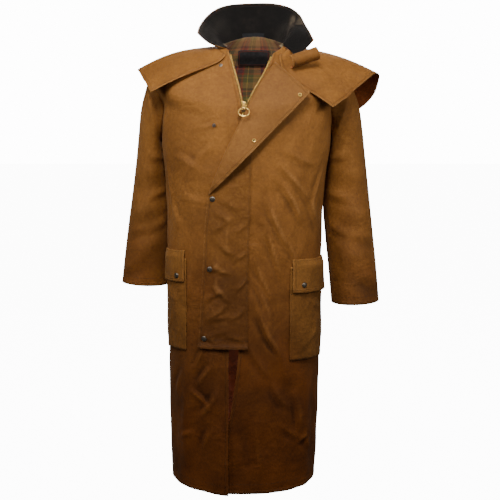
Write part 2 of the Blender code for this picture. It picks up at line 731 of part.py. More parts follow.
def zip_pull(finish):
    """A bar through the bail, two short legs and a large ring, cast in one."""
    leg = PULL_LEG_SPREAD
    loop = [(-leg, 0, 0), (leg, 0, 0), (leg, 0, -PULL_LEG_REACH), (-leg, 0, -PULL_LEG_REACH)]
    ring_middle = -PULL_LEG_REACH - RING_HALF_HEIGHT
    ring = []
    for turn in np.linspace(0, 2 * math.pi, RING_SIDES + 1)[:-1]:
        ring.append((RING_HALF_WIDTH * math.sin(turn), 0, ring_middle + RING_HALF_HEIGHT * math.cos(turn)))
    pieces = [wire("loop", loop, PULL_BAR, closed=True), wire("ring", ring, RING_WIRE, closed=True)]
    made = joined("zip_pull", pieces, finish)
    made.location = pull_pivot()
    made.rotation_euler.x = -math.radians(PULL_TILT)
    return made


# Lining, label, loop and throat tab


LINING_LEVELS = [level for level in LEVELS if LINING_BOTTOM < level < NECK - 0.005] + [NECK - 0.002]
LINING_ROWS = len(LINING_LEVELS) - 1


def lining_surface(u, v):
    level = LINING_LEVELS[round(v * LINING_ROWS)]
    limit = armhole_limit(level, ARMHOLE_BACK) + LINING_SEAM
    limit = mix(limit, LINING_FRONT, ease((level - SHOULDER) / (NECK - SHOULDER)))
    return body_point(mix(limit, 360 - limit, u), level, -CLOTH - LINING_LAY - lining_puff(level))


def lining_puff(level):
    """The lining stands off the back in a soft roll below the neck seam."""
    climb = ease((level - LINING_PUFF_FROM) / (NECK - LINING_PUFF_FROM))
    return LINING_PUFF * math.sin(math.pi * climb) ** 2


def label_surface(u, v):
    level = mix(LABEL_BOTTOM, LABEL_TOP, v)
    x = LABEL_X + mix(LABEL_WIDTH / 2, -LABEL_WIDTH / 2, u)
    depth = CLOTH + LINING_LAY + lining_puff(level) + LINING + LABEL_LAY
    return body_point(180 - front_angle(x, level), level, -depth)


def tab_surface(u, v):
    along = TAB_END - TAB_START
    forward = Vector((0, -1, 0)) - along * (-along.y / along.length_squared)
    forward.normalize()
    upward = forward.cross(along.normalized()) * -1
    turn = math.radians(mix(TAB_LAST, TAB_FIRST, v))
    return TAB_START + along * u + (forward * math.cos(turn) + upward * math.sin(turn)) * TAB_RADIUS


# Making the coat

for old in list(bpy.data.objects):
    bpy.data.objects.remove(old)
COAT = bpy.data.collections.new("waxed_coat")
bpy.context.scene.collection.children.link(COAT)

WAXED = material("waxed_cotton", (0.235, 0.105, 0.030), 0.62)
CORDUROY = material("corduroy", (0.022, 0.015, 0.011), 0.92)
TARTAN = material("tartan_lining", (0.150, 0.075, 0.035), 0.90)
WEBBING = material("black_tape", (0.012, 0.012, 0.013), 0.85)
BRASS = material("brass", (0.620, 0.430, 0.150), 0.32, 1.0)
DARK_METAL = material("antique_metal", (0.100, 0.080, 0.055), 0.42, 1.0)

# The back is cut across at the armpits, and the yoke above lies under the cape
BACK_LEVELS = [*LEVELS[:SKIRT_ROWS], ARMPIT - SEAM_HALF_GAP]
YOKE_LEVELS = [ARMPIT + SEAM_HALF_GAP, *LEVELS[SKIRT_ROWS + 1 :]]
cloth("back", back_surface(BACK_LEVELS), BACK_GRID, CLOTH, WAXED)
cloth("back_yoke", back_surface(YOKE_LEVELS), YOKE_GRID, CLOTH, WAXED)
for side in ("right", "left"):
    cloth(f"front_{side}", front_surface(side), FRONT_GRID, CLOTH, WAXED)
for side, rings in (("right", RIGHT_SLEEVE), ("left", LEFT_SLEEVE)):
    cloth(f"sleeve_{side}", sleeve_surface(side, rings), SLEEVE_GRID, CLOTH, WAXED, tube=True)

CAPE_SPREAD = spread_surface(CAPE_EDGE, CAPE[0].neck_angle, CAPE[-1].neck_angle, cape_root)
cloth("cape", cape_surface, CAPE_GRID, CLOTH, WAXED)
COLLAR_SURFACE = spread_surface(COLLAR_EDGE, COLLAR[0].neck_angle, COLLAR[-1].neck_angle, collar_root)
cloth("under_collar", COLLAR_SURFACE, COLLAR_GRID, COLLAR_PLY, WAXED)
INNER_COLLAR = moved_in(COLLAR_SURFACE, COLLAR_PLY + GAP)
cloth("top_collar", INNER_COLLAR, COLLAR_GRID, COLLAR_PLY, CORDUROY)
cloth("throat_tab", tab_surface, TAB_GRID, CLOTH, WAXED)

FLAP_GRID = (FLAP_COLUMNS, FLAP_LOWER_ROWS + FLAP_UPPER_ROWS)
cloth("storm_flap", flap_surface, FLAP_GRID, CLOTH, WAXED)
for pocket in POCKETS:
    cloth(f"pocket_{pocket.side}", pocket_surface(pocket), POCKET_GRID, CLOTH, WAXED)
    cloth(f"pocket_flap_{pocket.side}", pocket_flap_surface(pocket), POCKET_FLAP_GRID, CLOTH, WAXED)

for side in ("right", "left"):
    cloth(f"zip_tape_{side}", tape_surface(side), TAPE_GRID, TAPE, WEBBING)
zip_slider(BRASS)
zip_pull(BRASS)

cloth("lining_back", lining_surface, (LINING_COLUMNS, LINING_ROWS), LINING, TARTAN)
cloth("neck_label", label_surface, LABEL_GRID, LINING, WEBBING)
MIDDLE_U = (-180 - COLLAR[0].neck_angle) / (COLLAR[-1].neck_angle - COLLAR[0].neck_angle)
LOOP_U = LOOP_HALF_ANGLE / (COLLAR[-1].neck_angle - COLLAR[0].neck_angle)
LOOP_PATCH = part_of(INNER_COLLAR, MIDDLE_U - LOOP_U, MIDDLE_U + LOOP_U, LOOP_LOW, LOOP_HIGH)
cloth("hanging_loop", moved_in(LOOP_PATCH, COLLAR_PLY + GAP), LOOP_GRID, TAPE, WEBBING)

for number, (x, z) in enumerate(CAP_PLACES, 3):
    angle, level = front_place(x, z)
    place = facing(body_point(angle, level, FLAP_LIFT + GAP), body_normal(angle, level))
    turned_piece(f"flap_snap_{number}_cap", CAP, place, DARK_METAL)
for number, (x, z) in enumerate(STUD_PLACES, 1):
    angle, level = front_place(x, z)
    place = facing(body_point(angle, level, GAP), body_normal(angle, level))
    turned_piece(f"flap_snap_{number}_stud", STUD, place, DARK_METAL)
for number, (share, over) in enumerate(SOCKET_PLACES, 1):
    across = mix(0.45, 1.0, over)
    here = lapel_point(share, across)
    toward_edge = lapel_point(share, across + 0.01) - here
    up_it = lapel_point(share + 0.01, across) - here
    out = toward_edge.cross(up_it).normalized()
    out = out if out.y < 0 else -out
    turned_piece(f"flap_snap_{number}_socket", SOCKET, facing(here + out * (CLOTH + GAP), out), BRASS)
for pocket in POCKETS:
    surface = pocket_flap_surface(pocket)
    u = (pocket.snap_angle - pocket.inner) / (pocket.outer - pocket.inner)
    v = (pocket.snap_z - pocket.flap_bottom) / (pocket.flap_top - pocket.flap_bottom)
    here = surface(u, v)
    out = (surface(u + 0.02, v) - here).cross(surface(u, v + 0.02) - here).normalized()
    turned_piece(f"pocket_snap_{pocket.side}", CAP, facing(here + out * GAP, out), DARK_METAL)
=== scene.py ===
"""Long waxed-cotton riding coat with a shoulder cape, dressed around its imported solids.

Each cloth piece is a fine shell on the form of its solid, with its creases. Metres, +Z up,
the front faces -Y and the wearer's left is +X. Angles go round the body in degrees:
0 is the front, 90 the wearer's left, 180 the back.
"""

import math
from collections import namedtuple

import bpy
import numpy as np
from mathutils import Euler, Matrix, Vector


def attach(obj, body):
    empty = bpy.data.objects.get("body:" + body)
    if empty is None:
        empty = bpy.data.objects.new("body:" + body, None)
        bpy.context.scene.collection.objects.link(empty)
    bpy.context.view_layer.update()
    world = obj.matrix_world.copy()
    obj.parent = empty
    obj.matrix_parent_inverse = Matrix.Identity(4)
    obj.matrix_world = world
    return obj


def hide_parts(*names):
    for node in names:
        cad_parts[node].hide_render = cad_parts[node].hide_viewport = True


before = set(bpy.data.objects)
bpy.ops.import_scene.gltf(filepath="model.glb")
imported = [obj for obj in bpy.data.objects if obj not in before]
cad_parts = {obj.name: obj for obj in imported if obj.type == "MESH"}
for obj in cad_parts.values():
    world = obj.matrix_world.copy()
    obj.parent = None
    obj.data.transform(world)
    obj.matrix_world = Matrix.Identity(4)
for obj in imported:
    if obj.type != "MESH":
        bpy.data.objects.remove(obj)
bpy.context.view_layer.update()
scene = bpy.context.scene


# Camera, studio light and floor. A soft box above and ahead of the coat makes the shoulders
# bright and lets the skirt fall off. Two more stand at the sides and a broad one behind, and
# a small one under the hem lights the inside that shows in the slit.
PHOTO_FOCUS, PHOTO_SIDE, SENSOR = 1019.0, 500.0, 36.0
CAMERA_PLACE, CAMERA_PITCH = (0.011, -2.8, -0.10), 9.6
FLOOR_Z, FLOOR_HALF = -1.50, 14.0
FLOOR_TONE, FLOOR_ROUGHNESS, FLOOR_GLOW = 0.92, 0.9, 12.0

lens = bpy.data.cameras.new("photo_camera")
lens.sensor_width = SENSOR
lens.lens = PHOTO_FOCUS / PHOTO_SIDE * SENSOR
camera = bpy.data.objects.new("photo_camera", lens)
camera.location = CAMERA_PLACE
camera.rotation_euler = Euler((math.radians(90 - CAMERA_PITCH), 0, 0))
scene.collection.objects.link(camera)
scene.camera = camera

Lamp = namedtuple("Lamp", "name place aim size spread power")
LAMPS = (
    Lamp("key", (-0.22, -1.55, 1.35), (0.0, 0.0, -0.14), 0.9, 66.0, 10.0),
    Lamp("side_left", (1.9, -1.4, 0.6), (0.0, 0.0, -0.25), 1.0, 80.0, 7.0),
    Lamp("side_right", (-1.9, -1.4, 0.7), (0.0, 0.0, -0.25), 1.0, 80.0, 6.0),
    Lamp("under", (0.0, 0.03, -1.47), (0.0, 0.03, -0.8), 0.25, 70.0, 0.7),
    Lamp("back", (0.4, 2.4, 1.3), (0.0, 0.0, -0.4), 1.6, 180.0, 60.0),
)
for lamp in LAMPS:
    light = bpy.data.lights.new(lamp.name, "AREA")
    light.shape = "DISK"
    light.size = lamp.size
    light.spread = math.radians(lamp.spread)
    light.energy = lamp.power
    holder = bpy.data.objects.new(lamp.name, light)
    holder.location = lamp.place
    holder.rotation_euler = (Vector(lamp.aim) - Vector(lamp.place)).to_track_quat("-Z", "Y").to_euler()
    scene.collection.objects.link(holder)

WORLD_LIGHT, WORLD_SEEN = 0.08, 14.0
world = bpy.data.worlds.new("studio")
world.use_nodes = True
sky, wire = world.node_tree.nodes, world.node_tree.links.new
sky.clear()
seen_or_not = sky.new("ShaderNodeMixShader")
wire(sky.new("ShaderNodeLightPath").outputs["Is Camera Ray"], seen_or_not.inputs["Fac"])
for place, strength in ((1, WORLD_LIGHT), (2, WORLD_SEEN)):
    glow = sky.new("ShaderNodeBackground")
    glow.inputs["Color"].default_value = (1, 1, 1, 1)
    glow.inputs["Strength"].default_value = strength
    wire(glow.outputs[0], seen_or_not.inputs[place])
wire(seen_or_not.outputs[0], sky.new("ShaderNodeOutputWorld").inputs["Surface"])
scene.world = world

ground = bpy.data.meshes.new("floor")
corners = [(x * FLOOR_HALF, y * FLOOR_HALF, FLOOR_Z) for x, y in ((-1, -1), (1, -1), (1, 1), (-1, 1))]
ground.from_pydata(corners, [], [(0, 1, 2, 3)])
floor_paint = bpy.data.materials.new("floor_paint")
floor_paint.use_nodes = True
floor_shader = floor_paint.node_tree.nodes["Principled BSDF"].inputs
floor_shader["Base Color"].default_value = (FLOOR_TONE, FLOOR_TONE, FLOOR_TONE, 1)
floor_shader["Roughness"].default_value = FLOOR_ROUGHNESS
floor_shader["Emission Color"].default_value = (1, 1, 1, 1)
floor_shader["Emission Strength"].default_value = FLOOR_GLOW
ground.materials.append(floor_paint)
floor = bpy.data.objects.new("floor", ground)
floor.visible_diffuse = False
floor.visible_glossy = False
scene.collection.objects.link(floor)


# Body: back, back yoke and two fronts, cut from waxed cotton, sewn at the sides and shoulders.
# Each is a wall laid on rounded rings that follow the body, with its long folds and creases,
# and the edge of every hem is turned and stitched.
CLOTH, GAP, SEAM_HALF_GAP, LAY = 0.002, 0.0003, 0.0004, 0.0010
HEM, ARMPIT, SHOULDER, NECK = -1.215, -0.270, -0.075, -0.012
ROUNDNESS = 0.87
Section = namedtuple("Section", "side_z front_z back_z half_width front_depth back_depth shift")
BODY = (
    Section(HEM, -1.218, -1.212, 0.204, 0.178, 0.172, -0.008),
    Section(-1.100, -1.102, -1.098, 0.208, 0.178, 0.170, -0.007),
    Section(-0.950, -0.950, -0.950, 0.211, 0.177, 0.168, -0.006),
    Section(-0.800, -0.800, -0.800, 0.211, 0.174, 0.164, -0.005),
    Section(-0.680, -0.680, -0.680, 0.211, 0.170, 0.158, -0.005),
    Section(-0.550, -0.550, -0.550, 0.213, 0.166, 0.150, -0.004),
    Section(-0.430, -0.430, -0.430, 0.215, 0.163, 0.145, -0.003),
    Section(-0.340, -0.342, -0.340, 0.222, 0.160, 0.145, -0.001),
    Section(ARMPIT, -0.282, -0.270, 0.230, 0.154, 0.143, 0.001),
    Section(-0.180, -0.212, -0.185, 0.231, 0.147, 0.136, 0.004),
    Section(SHOULDER, -0.136, -0.098, 0.224, 0.124, 0.116, 0.007),
    Section(-0.042, -0.090, -0.045, 0.150, 0.101, 0.094, 0.013),
    Section(NECK, -0.048, 0.002, 0.086, 0.084, 0.072, 0.020),
)
SIDE_SEAM, SHOULDER_SEAM = 95.0, 90.0
ARMHOLE_FRONT, ARMHOLE_BACK, ARMHOLE_CURVE = 75.0, 110.0, 0.6
FrontEdge = namedtuple("FrontEdge", "side_z right_x left_x")
FRONT_EDGES = (
    FrontEdge(HEM, -0.046, -0.058),
    FrontEdge(-1.080, -0.047, -0.056),
    FrontEdge(-0.960, -0.0465, -0.0365),
    FrontEdge(-0.820, -0.0455, -0.0195),
    FrontEdge(-0.660, -0.0285, -0.0155),
    FrontEdge(-0.430, -0.018, -0.006),
    FrontEdge(-0.200, -0.011, 0.001),
    FrontEdge(-0.120, -0.012, 0.003),
    FrontEdge(SHOULDER, -0.018, 0.022),
    FrontEdge(-0.042, -0.031, 0.050),
    FrontEdge(NECK, -0.046, 0.073),
)
OVERLAP_TOP, OVERLAP_LIFT, OVERLAP_SPREAD = -0.880, 0.014, 14.0

# Long folds of the hang: soft ridges, or troughs where the height is negative
Fold = namedtuple("Fold", "top_angle top_z bottom_angle bottom_z width height")
FOLDS = (
    Fold(6, -0.66, 31, -0.92, 6, 0.008),
    Fold(16, -0.68, 26, -0.84, 5, -0.004),
    Fold(14, -0.40, 30, -0.62, 7, 0.005),
    Fold(46, -0.88, 54, -1.24, 9, 0.007),
    Fold(66, -0.86, 64, -1.24, 8, -0.004),
    Fold(-40, -0.78, -48, -1.16, 6, 0.007),
    Fold(-29, -0.84, -33, -1.20, 8, -0.006),
    Fold(-66, -0.92, -64, -1.24, 8, -0.004),
    Fold(118, -0.72, 114, -1.25, 9, 0.008),
    Fold(149, -0.50, 144, -1.25, 9, 0.011),
    Fold(166, -0.62, 165, -1.25, 8, -0.006),
    Fold(182, -0.48, 186, -1.25, 9, 0.012),
    Fold(213, -0.56, 217, -1.25, 9, 0.011),
    Fold(244, -0.70, 248, -1.25, 9, 0.008),
)
# Creases: start and end by angle and height, how far the middle bows aside, half-width, height
Crease = namedtuple("Crease", "angle_1 z_1 angle_2 z_2 bow width height")
CREASES = (
    Crease(16, -0.300, 52, -0.420, 0.006, 0.011, 0.0030),
    Crease(18, -0.350, 46, -0.500, -0.006, 0.010, 0.0034),
    Crease(13, -0.405, 33, -0.560, 0.008, 0.009, 0.0036),
    Crease(12, -0.470, 27, -0.640, 0.004, 0.008, 0.0030),
    Crease(20, -0.270, 60, -0.330, 0.010, 0.012, 0.0022),
    Crease(44, -0.400, 66, -0.520, -0.010, 0.014, 0.0026),
    Crease(30, -0.520, 40, -0.590, 0.004, 0.008, 0.0026),
    Crease(5, -0.560, 20, -0.690, 0.006, 0.007, 0.0034),
    Crease(4, -0.620, 17, -0.745, -0.005, 0.007, 0.0036),
    Crease(8, -0.700, 22, -0.820, 0.006, 0.008, 0.0040),
    Crease(12, -0.770, 26, -0.850, -0.003, 0.007, 0.0034),
    Crease(2, -0.800, 18, -0.905, 0.004, 0.008, 0.0030),
    Crease(18, -0.900, 34, -0.985, 0.010, 0.010, 0.0030),
    Crease(36, -0.930, 44, -1.060, -0.008, 0.012, 0.0032),
    Crease(24, -1.020, 48, -1.075, 0.006, 0.008, 0.0028),
    Crease(40, -1.085, 52, -1.055, 0.003, 0.007, 0.0034),
    Crease(48, -1.050, 60, -1.120, 0.006, 0.009, 0.0028),
    Crease(8, -1.000, 14, -1.180, 0.010, 0.014, 0.0024),
    Crease(-20, -0.860, -34, -0.925, 0.004, 0.008, 0.0036),
    Crease(-17, -0.930, -33, -1.010, -0.006, 0.009, 0.0040),
    Crease(-22, -0.985, -42, -0.930, 0.004, 0.008, 0.0034),
    Crease(-19, -1.030, -30, -1.110, 0.006, 0.010, 0.0030),
    Crease(-36, -1.050, -54, -1.075, 0.003, 0.007, 0.0030),
    Crease(-27, -0.800, -38, -0.880, -0.004, 0.008, 0.0030),
    Crease(-46, -0.880, -60, -0.960, 0.006, 0.011, 0.0026),
    Crease(-50, -0.500, -70, -0.420, 0.006, 0.011, 0.0024),
    Crease(-34, -0.560, -42, -0.690, 0.008, 0.010, 0.0024),
    Crease(-28, -0.350, -56, -0.300, 0.012, 0.012, 0.0022),
    Crease(-22, -0.420, -50, -0.400, -0.006, 0.012, 0.0020),
    Crease(-70, -0.330, -56, -0.460, 0.008, 0.011, 0.0026),
    Crease(70, -0.330, 54, -0.450, 0.008, 0.011, 0.0026),
    Crease(-16, -0.250, -34, -0.330, 0.004, 0.009, 0.0018),
    Crease(-13, -0.190, -30, -0.215, 0.003, 0.008, 0.0016),
    Crease(-26, -0.610, -12, -0.580, 0.003, 0.006, 0.0022),
    Crease(-27, -0.690, -10, -0.655, -0.003, 0.006, 0.0026),
    Crease(-26, -0.735, -6, -0.720, 0.004, 0.006, 0.0026),
    Crease(-24, -0.780, -8, -0.760, 0.002, 0.006, 0.0020),
    Crease(-20, -0.500, -10, -0.470, 0.003, 0.007, 0.0020),
    Crease(112, -0.340, 150, -0.430, 0.010, 0.014, 0.0034),
    Crease(248, -0.340, 210, -0.440, 0.012, 0.014, 0.0034),
    Crease(128, -0.420, 172, -0.470, -0.012, 0.013, 0.0030),
    Crease(232, -0.440, 190, -0.500, 0.008, 0.013, 0.0030),
    Crease(120, -0.560, 138, -0.620, 0.006, 0.010, 0.0030),
    Crease(196, -0.560, 226, -0.610, -0.008, 0.011, 0.0030),
    Crease(156, -0.720, 174, -0.800, 0.008, 0.012, 0.0032),
    Crease(128, -0.880, 140, -1.040, 0.012, 0.014, 0.0034),
    Crease(228, -0.860, 222, -1.060, 0.010, 0.014, 0.0034),
    Crease(196, -0.960, 204, -1.120, -0.008, 0.012, 0.0030),
    Crease(158, -1.020, 150, -1.150, 0.008, 0.011, 0.0028),
    Crease(104, -0.660, 114, -0.800, 0.006, 0.010, 0.0028),
    Crease(256, -0.640, 246, -0.790, 0.006, 0.010, 0.0028),
)
METRES_PER_DEGREE, FOLD_FADE, UNEVEN, UNEVEN_FADE = 0.0034, 0.7, 0.0007, 0.12
CREST, CREASE_SHARP, CREASE_TROUGH, TROUGH_AT, CREASE_FADE = 0.35, 1.5, 0.55, 1.5, 0.8
CREASE_GAIN, SKIRT_GAIN, SKIRT_FROM = 1.4, 1.6, -0.84
SKIRT_STEPS, ARMHOLE_STEPS, SHOULDER_STEPS = 150, 36, 30
FRONT_COLUMNS, BACK_COLUMNS, HALVINGS = 64, 116, 32


class SmoothTable:
    """A table whose rows are joined by a smooth curve, read by its first column."""

    def __init__(self, rows):
        table = np.array(rows, float)
        self.keys = table[:, 0]
        self.values = table[:, 1:]
        self.slopes = np.gradient(self.values, self.keys, axis=0)

    def __call__(self, key):
        key = np.clip(np.asarray(key, float), self.keys[0], self.keys[-1])
        i = np.clip(np.searchsorted(self.keys, key, side="right") - 1, 0, len(self.keys) - 2)
        span = (self.keys[i + 1] - self.keys[i])[..., None]
        t = (key - self.keys[i])[..., None] / span
        start = self.values[i] * (1 + 2 * t) * (1 - t) ** 2 + self.slopes[i] * span * t * (1 - t) ** 2
        end = self.values[i + 1] * t * t * (3 - 2 * t) + self.slopes[i + 1] * span * t * t * (t - 1)
        return np.moveaxis(start + end, -1, 0)


def ease(t):
    """0 below 0, 1 above 1, and a smooth step between."""
    t = np.clip(t, 0.0, 1.0)
    return t * t * (3 - 2 * t)


def mix(a, b, t):
    return a + (b - a) * t


def unit(vectors):
    return vectors / np.maximum(np.linalg.norm(vectors, axis=-1, keepdims=True), 1e-12)


BODY_FORM = SmoothTable(BODY)
FRONT_EDGE = SmoothTable(FRONT_EDGES)


def bare_body(angle, level):
    """Points on the coat's outside, without its folds."""
    front_z, back_z, half_width, front_depth, back_depth, shift = BODY_FORM(level)
    sine, cosine = np.sin(np.radians(angle)), np.cos(np.radians(angle))
    across = np.sign(sine) * np.abs(sine) ** ROUNDNESS
    forward = np.sign(cosine) * np.abs(cosine) ** ROUNDNESS
    depth = np.where(cosine > 0, front_depth, back_depth)
    end_z = np.where(cosine > 0, front_z, back_z)
    return np.stack((shift + half_width * across, -depth * forward, level + (end_z - level) * cosine**2), -1)


def body_normal(angle, level):
    turn, climb = 1.5, 0.006
    round_it = bare_body(angle + turn, level) - bare_body(angle - turn, level)
    low, high = np.maximum(level - climb, HEM), np.minimum(level + climb, NECK)
    up_it = bare_body(angle, high) - bare_body(angle, low)
    return unit(np.cross(round_it, up_it))


def crease_height(across, along, creases):
    """Height of creases on a flat cloth: each is a ridge with a rather sharp crest, as stiff waxed
    cotton makes, and a shallower trough at one side."""
    height = np.zeros_like(across)
    for start_x, start_y, end_x, end_y, bow, width, rise in creases:
        run_x, run_y = end_x - start_x, end_y - start_y
        length = math.hypot(run_x, run_y)
        t = ((across - start_x) * run_x + (along - start_y) * run_y) / length**2
        aside = ((across - start_x) * run_y - (along - start_y) * run_x) / length
        inside = np.clip(t, 0, 1)
        aside = aside - bow * 4 * inside * (1 - inside)
        ridge = np.exp(CREST - np.sqrt((CREASE_SHARP * aside / width) ** 2 + CREST**2))
        ridge = ridge - CREASE_TROUGH * np.exp(-(((aside - TROUGH_AT * width) / width) ** 2))
        height += rise * ridge * np.sin(math.pi * inside) ** CREASE_FADE
    return height


BODY_CREASES = [
    (c.angle_1 * METRES_PER_DEGREE, c.z_1, c.angle_2 * METRES_PER_DEGREE, c.z_2, c.bow, c.width,
     c.height * (SKIRT_GAIN if c.z_1 < SKIRT_FROM else CREASE_GAIN))
    for c in CREASES
]


def body_creases(angle, level):
    return crease_height(angle * METRES_PER_DEGREE, level, BODY_CREASES)


def fold_height(angle, level):
    """Folds and creases of the body, and the slight unevenness of cloth that hangs."""
    height = body_creases(angle, level)
    for fold in FOLDS:
        t = np.clip((fold.top_z - level) / (fold.top_z - fold.bottom_z), 0, 1)
        away = (angle - mix(fold.top_angle, fold.bottom_angle, t)) / fold.width
        height += fold.height * np.exp(-away * away) * np.sin(math.pi * t) ** FOLD_FADE
    uneven = np.sin(angle * 0.21 + level * 31 + 1.0) * np.sin(level * 23 - angle * 0.05)
    uneven += 0.7 * np.sin(angle * 0.34 - level * 52 + 2.2)
    return height + UNEVEN * uneven * ease((SHOULDER - level) / UNEVEN_FADE)


def body_point(angle, level, lift=0.0):
    """Points on the coat's outside, folds included, moved out by lift."""
    angle, level, lift = np.broadcast_arrays(np.asarray(angle, float), level, lift)
    out = (lift + fold_height(angle, level))[..., None]
    return bare_body(angle, level) + body_normal(angle, level) * out


def front_angle(x, level):
    _, _, half_width, _, _, shift = BODY_FORM(level)
    across = np.clip((x - shift) / half_width, -0.999, 0.999)
    return np.degrees(np.arcsin(np.sign(across) * np.abs(across) ** (1 / ROUNDNESS)))


def front_place(x, z):
    """Angle and level of the front's points that are seen at x, z from straight ahead."""
    x, z = np.broadcast_arrays(np.asarray(x, float), z)
    low, high = np.full(x.shape, HEM), np.full(x.shape, NECK)
    for _ in range(HALVINGS):
        level = (low + high) / 2
        below = bare_body(front_angle(x, level), level)[..., 2] < z
        low, high = np.where(below, level, low), np.where(below, high, level)
    return front_angle(x, level), level


def on_front(x, z, lift=0.0):
    return body_point(*front_place(x, z), lift)


def armhole_limit(level, cut):
    """Angle where a panel ends beside the armhole, or at the side or shoulder seam."""
    t = (level - ARMPIT) / (SHOULDER - ARMPIT)
    seam = mix(SIDE_SEAM, SHOULDER_SEAM, ease(t))
    return mix(seam, cut, np.sin(math.pi * np.clip(t, 0, 1)) ** ARMHOLE_CURVE)


def seam_angle(angle, level):
    """Half of a seam's gap, as an angle at that height."""
    one_degree = bare_body(angle + 0.5, level) - bare_body(angle - 0.5, level)
    return SEAM_HALF_GAP / np.linalg.norm(one_degree, axis=-1)


def grid(columns, rows):
    """Shares across and up a piece, as two arrays of rows by columns."""
    return np.meshgrid(np.linspace(0, 1, columns + 1), np.linspace(0, 1, rows + 1))


HEM_WIDTH, FAR_FROM_EDGE = 0.0095, 0.2


def side_distance(points, sides):
    """Distance along the cloth to the nearest of the named sides."""
    across = np.linalg.norm(np.diff(points, axis=1), axis=-1)
    upward = np.linalg.norm(np.diff(points, axis=0), axis=-1)
    from_left = np.pad(np.cumsum(across, axis=1), ((0, 0), (1, 0)))
    from_bottom = np.pad(np.cumsum(upward, axis=0), ((1, 0), (0, 0)))
    distances = {
        "left": from_left,
        "right": from_left[:, -1:] - from_left,
        "bottom": from_bottom,
        "top": from_bottom[-1:] - from_bottom,
    }
    far = np.full(points.shape[:2], FAR_FROM_EDGE)
    return np.minimum.reduce([far, *(distances[side] for side in sides)]), from_left, from_bottom


def surface_normals(points, tube):
    if tube:
        padded = np.concatenate((points[:, -2:-1], points, points[:, 1:2]), axis=1)
        across = padded[:, 2:] - padded[:, :-2]
    else:
        across = np.gradient(points, axis=1)
    return unit(np.cross(across, np.gradient(points, axis=0)))


def cloth_shell(name, points, wall, finishes, hems=(), seams=(), tube=False,
                turned=HEM_WIDTH, creased=0.0):
    """A sewn piece: a quad shell whose outer face is points, rows by columns, with a wall behind it.
    Its UV map is in metres, and it stores the distance to its hemmed and to its sewn edges and the height of
    its creases, where wax rubs off on the crests and painted shade darkens the troughs. A hem that is turned
    wider than usual is stored narrower, so that one finish serves all."""
    rows, columns = points.shape[0] - 1, points.shape[1] - 1
    hem, from_left, from_bottom = side_distance(points, hems)
    hem = hem * (HEM_WIDTH / turned)
    seam = side_distance(points, seams)[0]
    kept = columns if tube else columns + 1
    inner = points - surface_normals(points, tube) * wall
    spots = np.concatenate((points[:, :kept].reshape(-1, 3), inner[:, :kept].reshape(-1, 3)))
    row, column = (a.ravel() for a in np.mgrid[0:rows, 0:columns])
    corner_rows = np.stack((row, row, row + 1, row + 1), 1)
    corner_columns = np.stack((column, column + 1, column + 1, column), 1)
    outer_faces = corner_rows * kept + corner_columns % kept
    back = (rows + 1) * kept
    inner_faces = outer_faces[:, ::-1] + back
    rim = [np.array([r * kept + c % kept for r, c in line]) for line in edge_lines(rows, columns, tube)]
    rim_faces = [np.stack((line[1:], line[:-1], line[:-1] + back, line[1:] + back), 1) for line in rim]
    faces = np.concatenate((outer_faces, inner_faces, *rim_faces))
    mesh = bpy.data.meshes.new(name)
    mesh.from_pydata(spots.tolist(), [], faces.tolist())
    u, v = np.mean(from_left, axis=0), np.mean(from_bottom, axis=1)
    flat = np.stack((u[corner_columns], v[corner_rows]), -1)
    rim_flat = []
    for line in edge_lines(rows, columns, tube):
        spot = np.array([(u[c], v[r]) for r, c in line])
        rim_flat.append(np.stack((spot[1:], spot[:-1], spot[:-1], spot[1:]), 1))
    loops = np.concatenate((flat, flat[:, ::-1], *rim_flat)).reshape(-1, 2)
    mesh.uv_layers.new(name="cut").data.foreach_set("uv", loops.ravel())
    for label, values in (("hem", hem), ("seam", seam), ("crease", creased + np.zeros_like(hem))):
        stored = np.tile(values[:, :kept].ravel(), 2)
        mesh.attributes.new(label, "FLOAT", "POINT").data.foreach_set("value", stored)
    for finish in finishes:
        mesh.materials.append(finish)
    count = len(outer_faces)
    inside = np.zeros(len(faces), np.int32)
    inside[count : 2 * count] = len(finishes) - 1
    mesh.polygons.foreach_set("material_index", inside)
    mesh.shade_smooth()
    mesh.validate()
    made = bpy.data.objects.new("cloth_" + name, mesh)
    scene.collection.objects.link(made)
    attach(made, "coat")
    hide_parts(name)
    return made


def edge_lines(rows, columns, tube):
    """Edges of the grid, each a list of row and column, in the order that its rim needs."""
    bottom = [(0, c) for c in range(columns + 1)]
    top = [(rows, c) for c in range(columns, -1, -1)]
    if tube:
        return [bottom, top]
    right = [(r, columns) for r in range(rows + 1)]
    left = [(r, 0) for r in range(rows, -1, -1)]
    return [bottom, right, top, left]


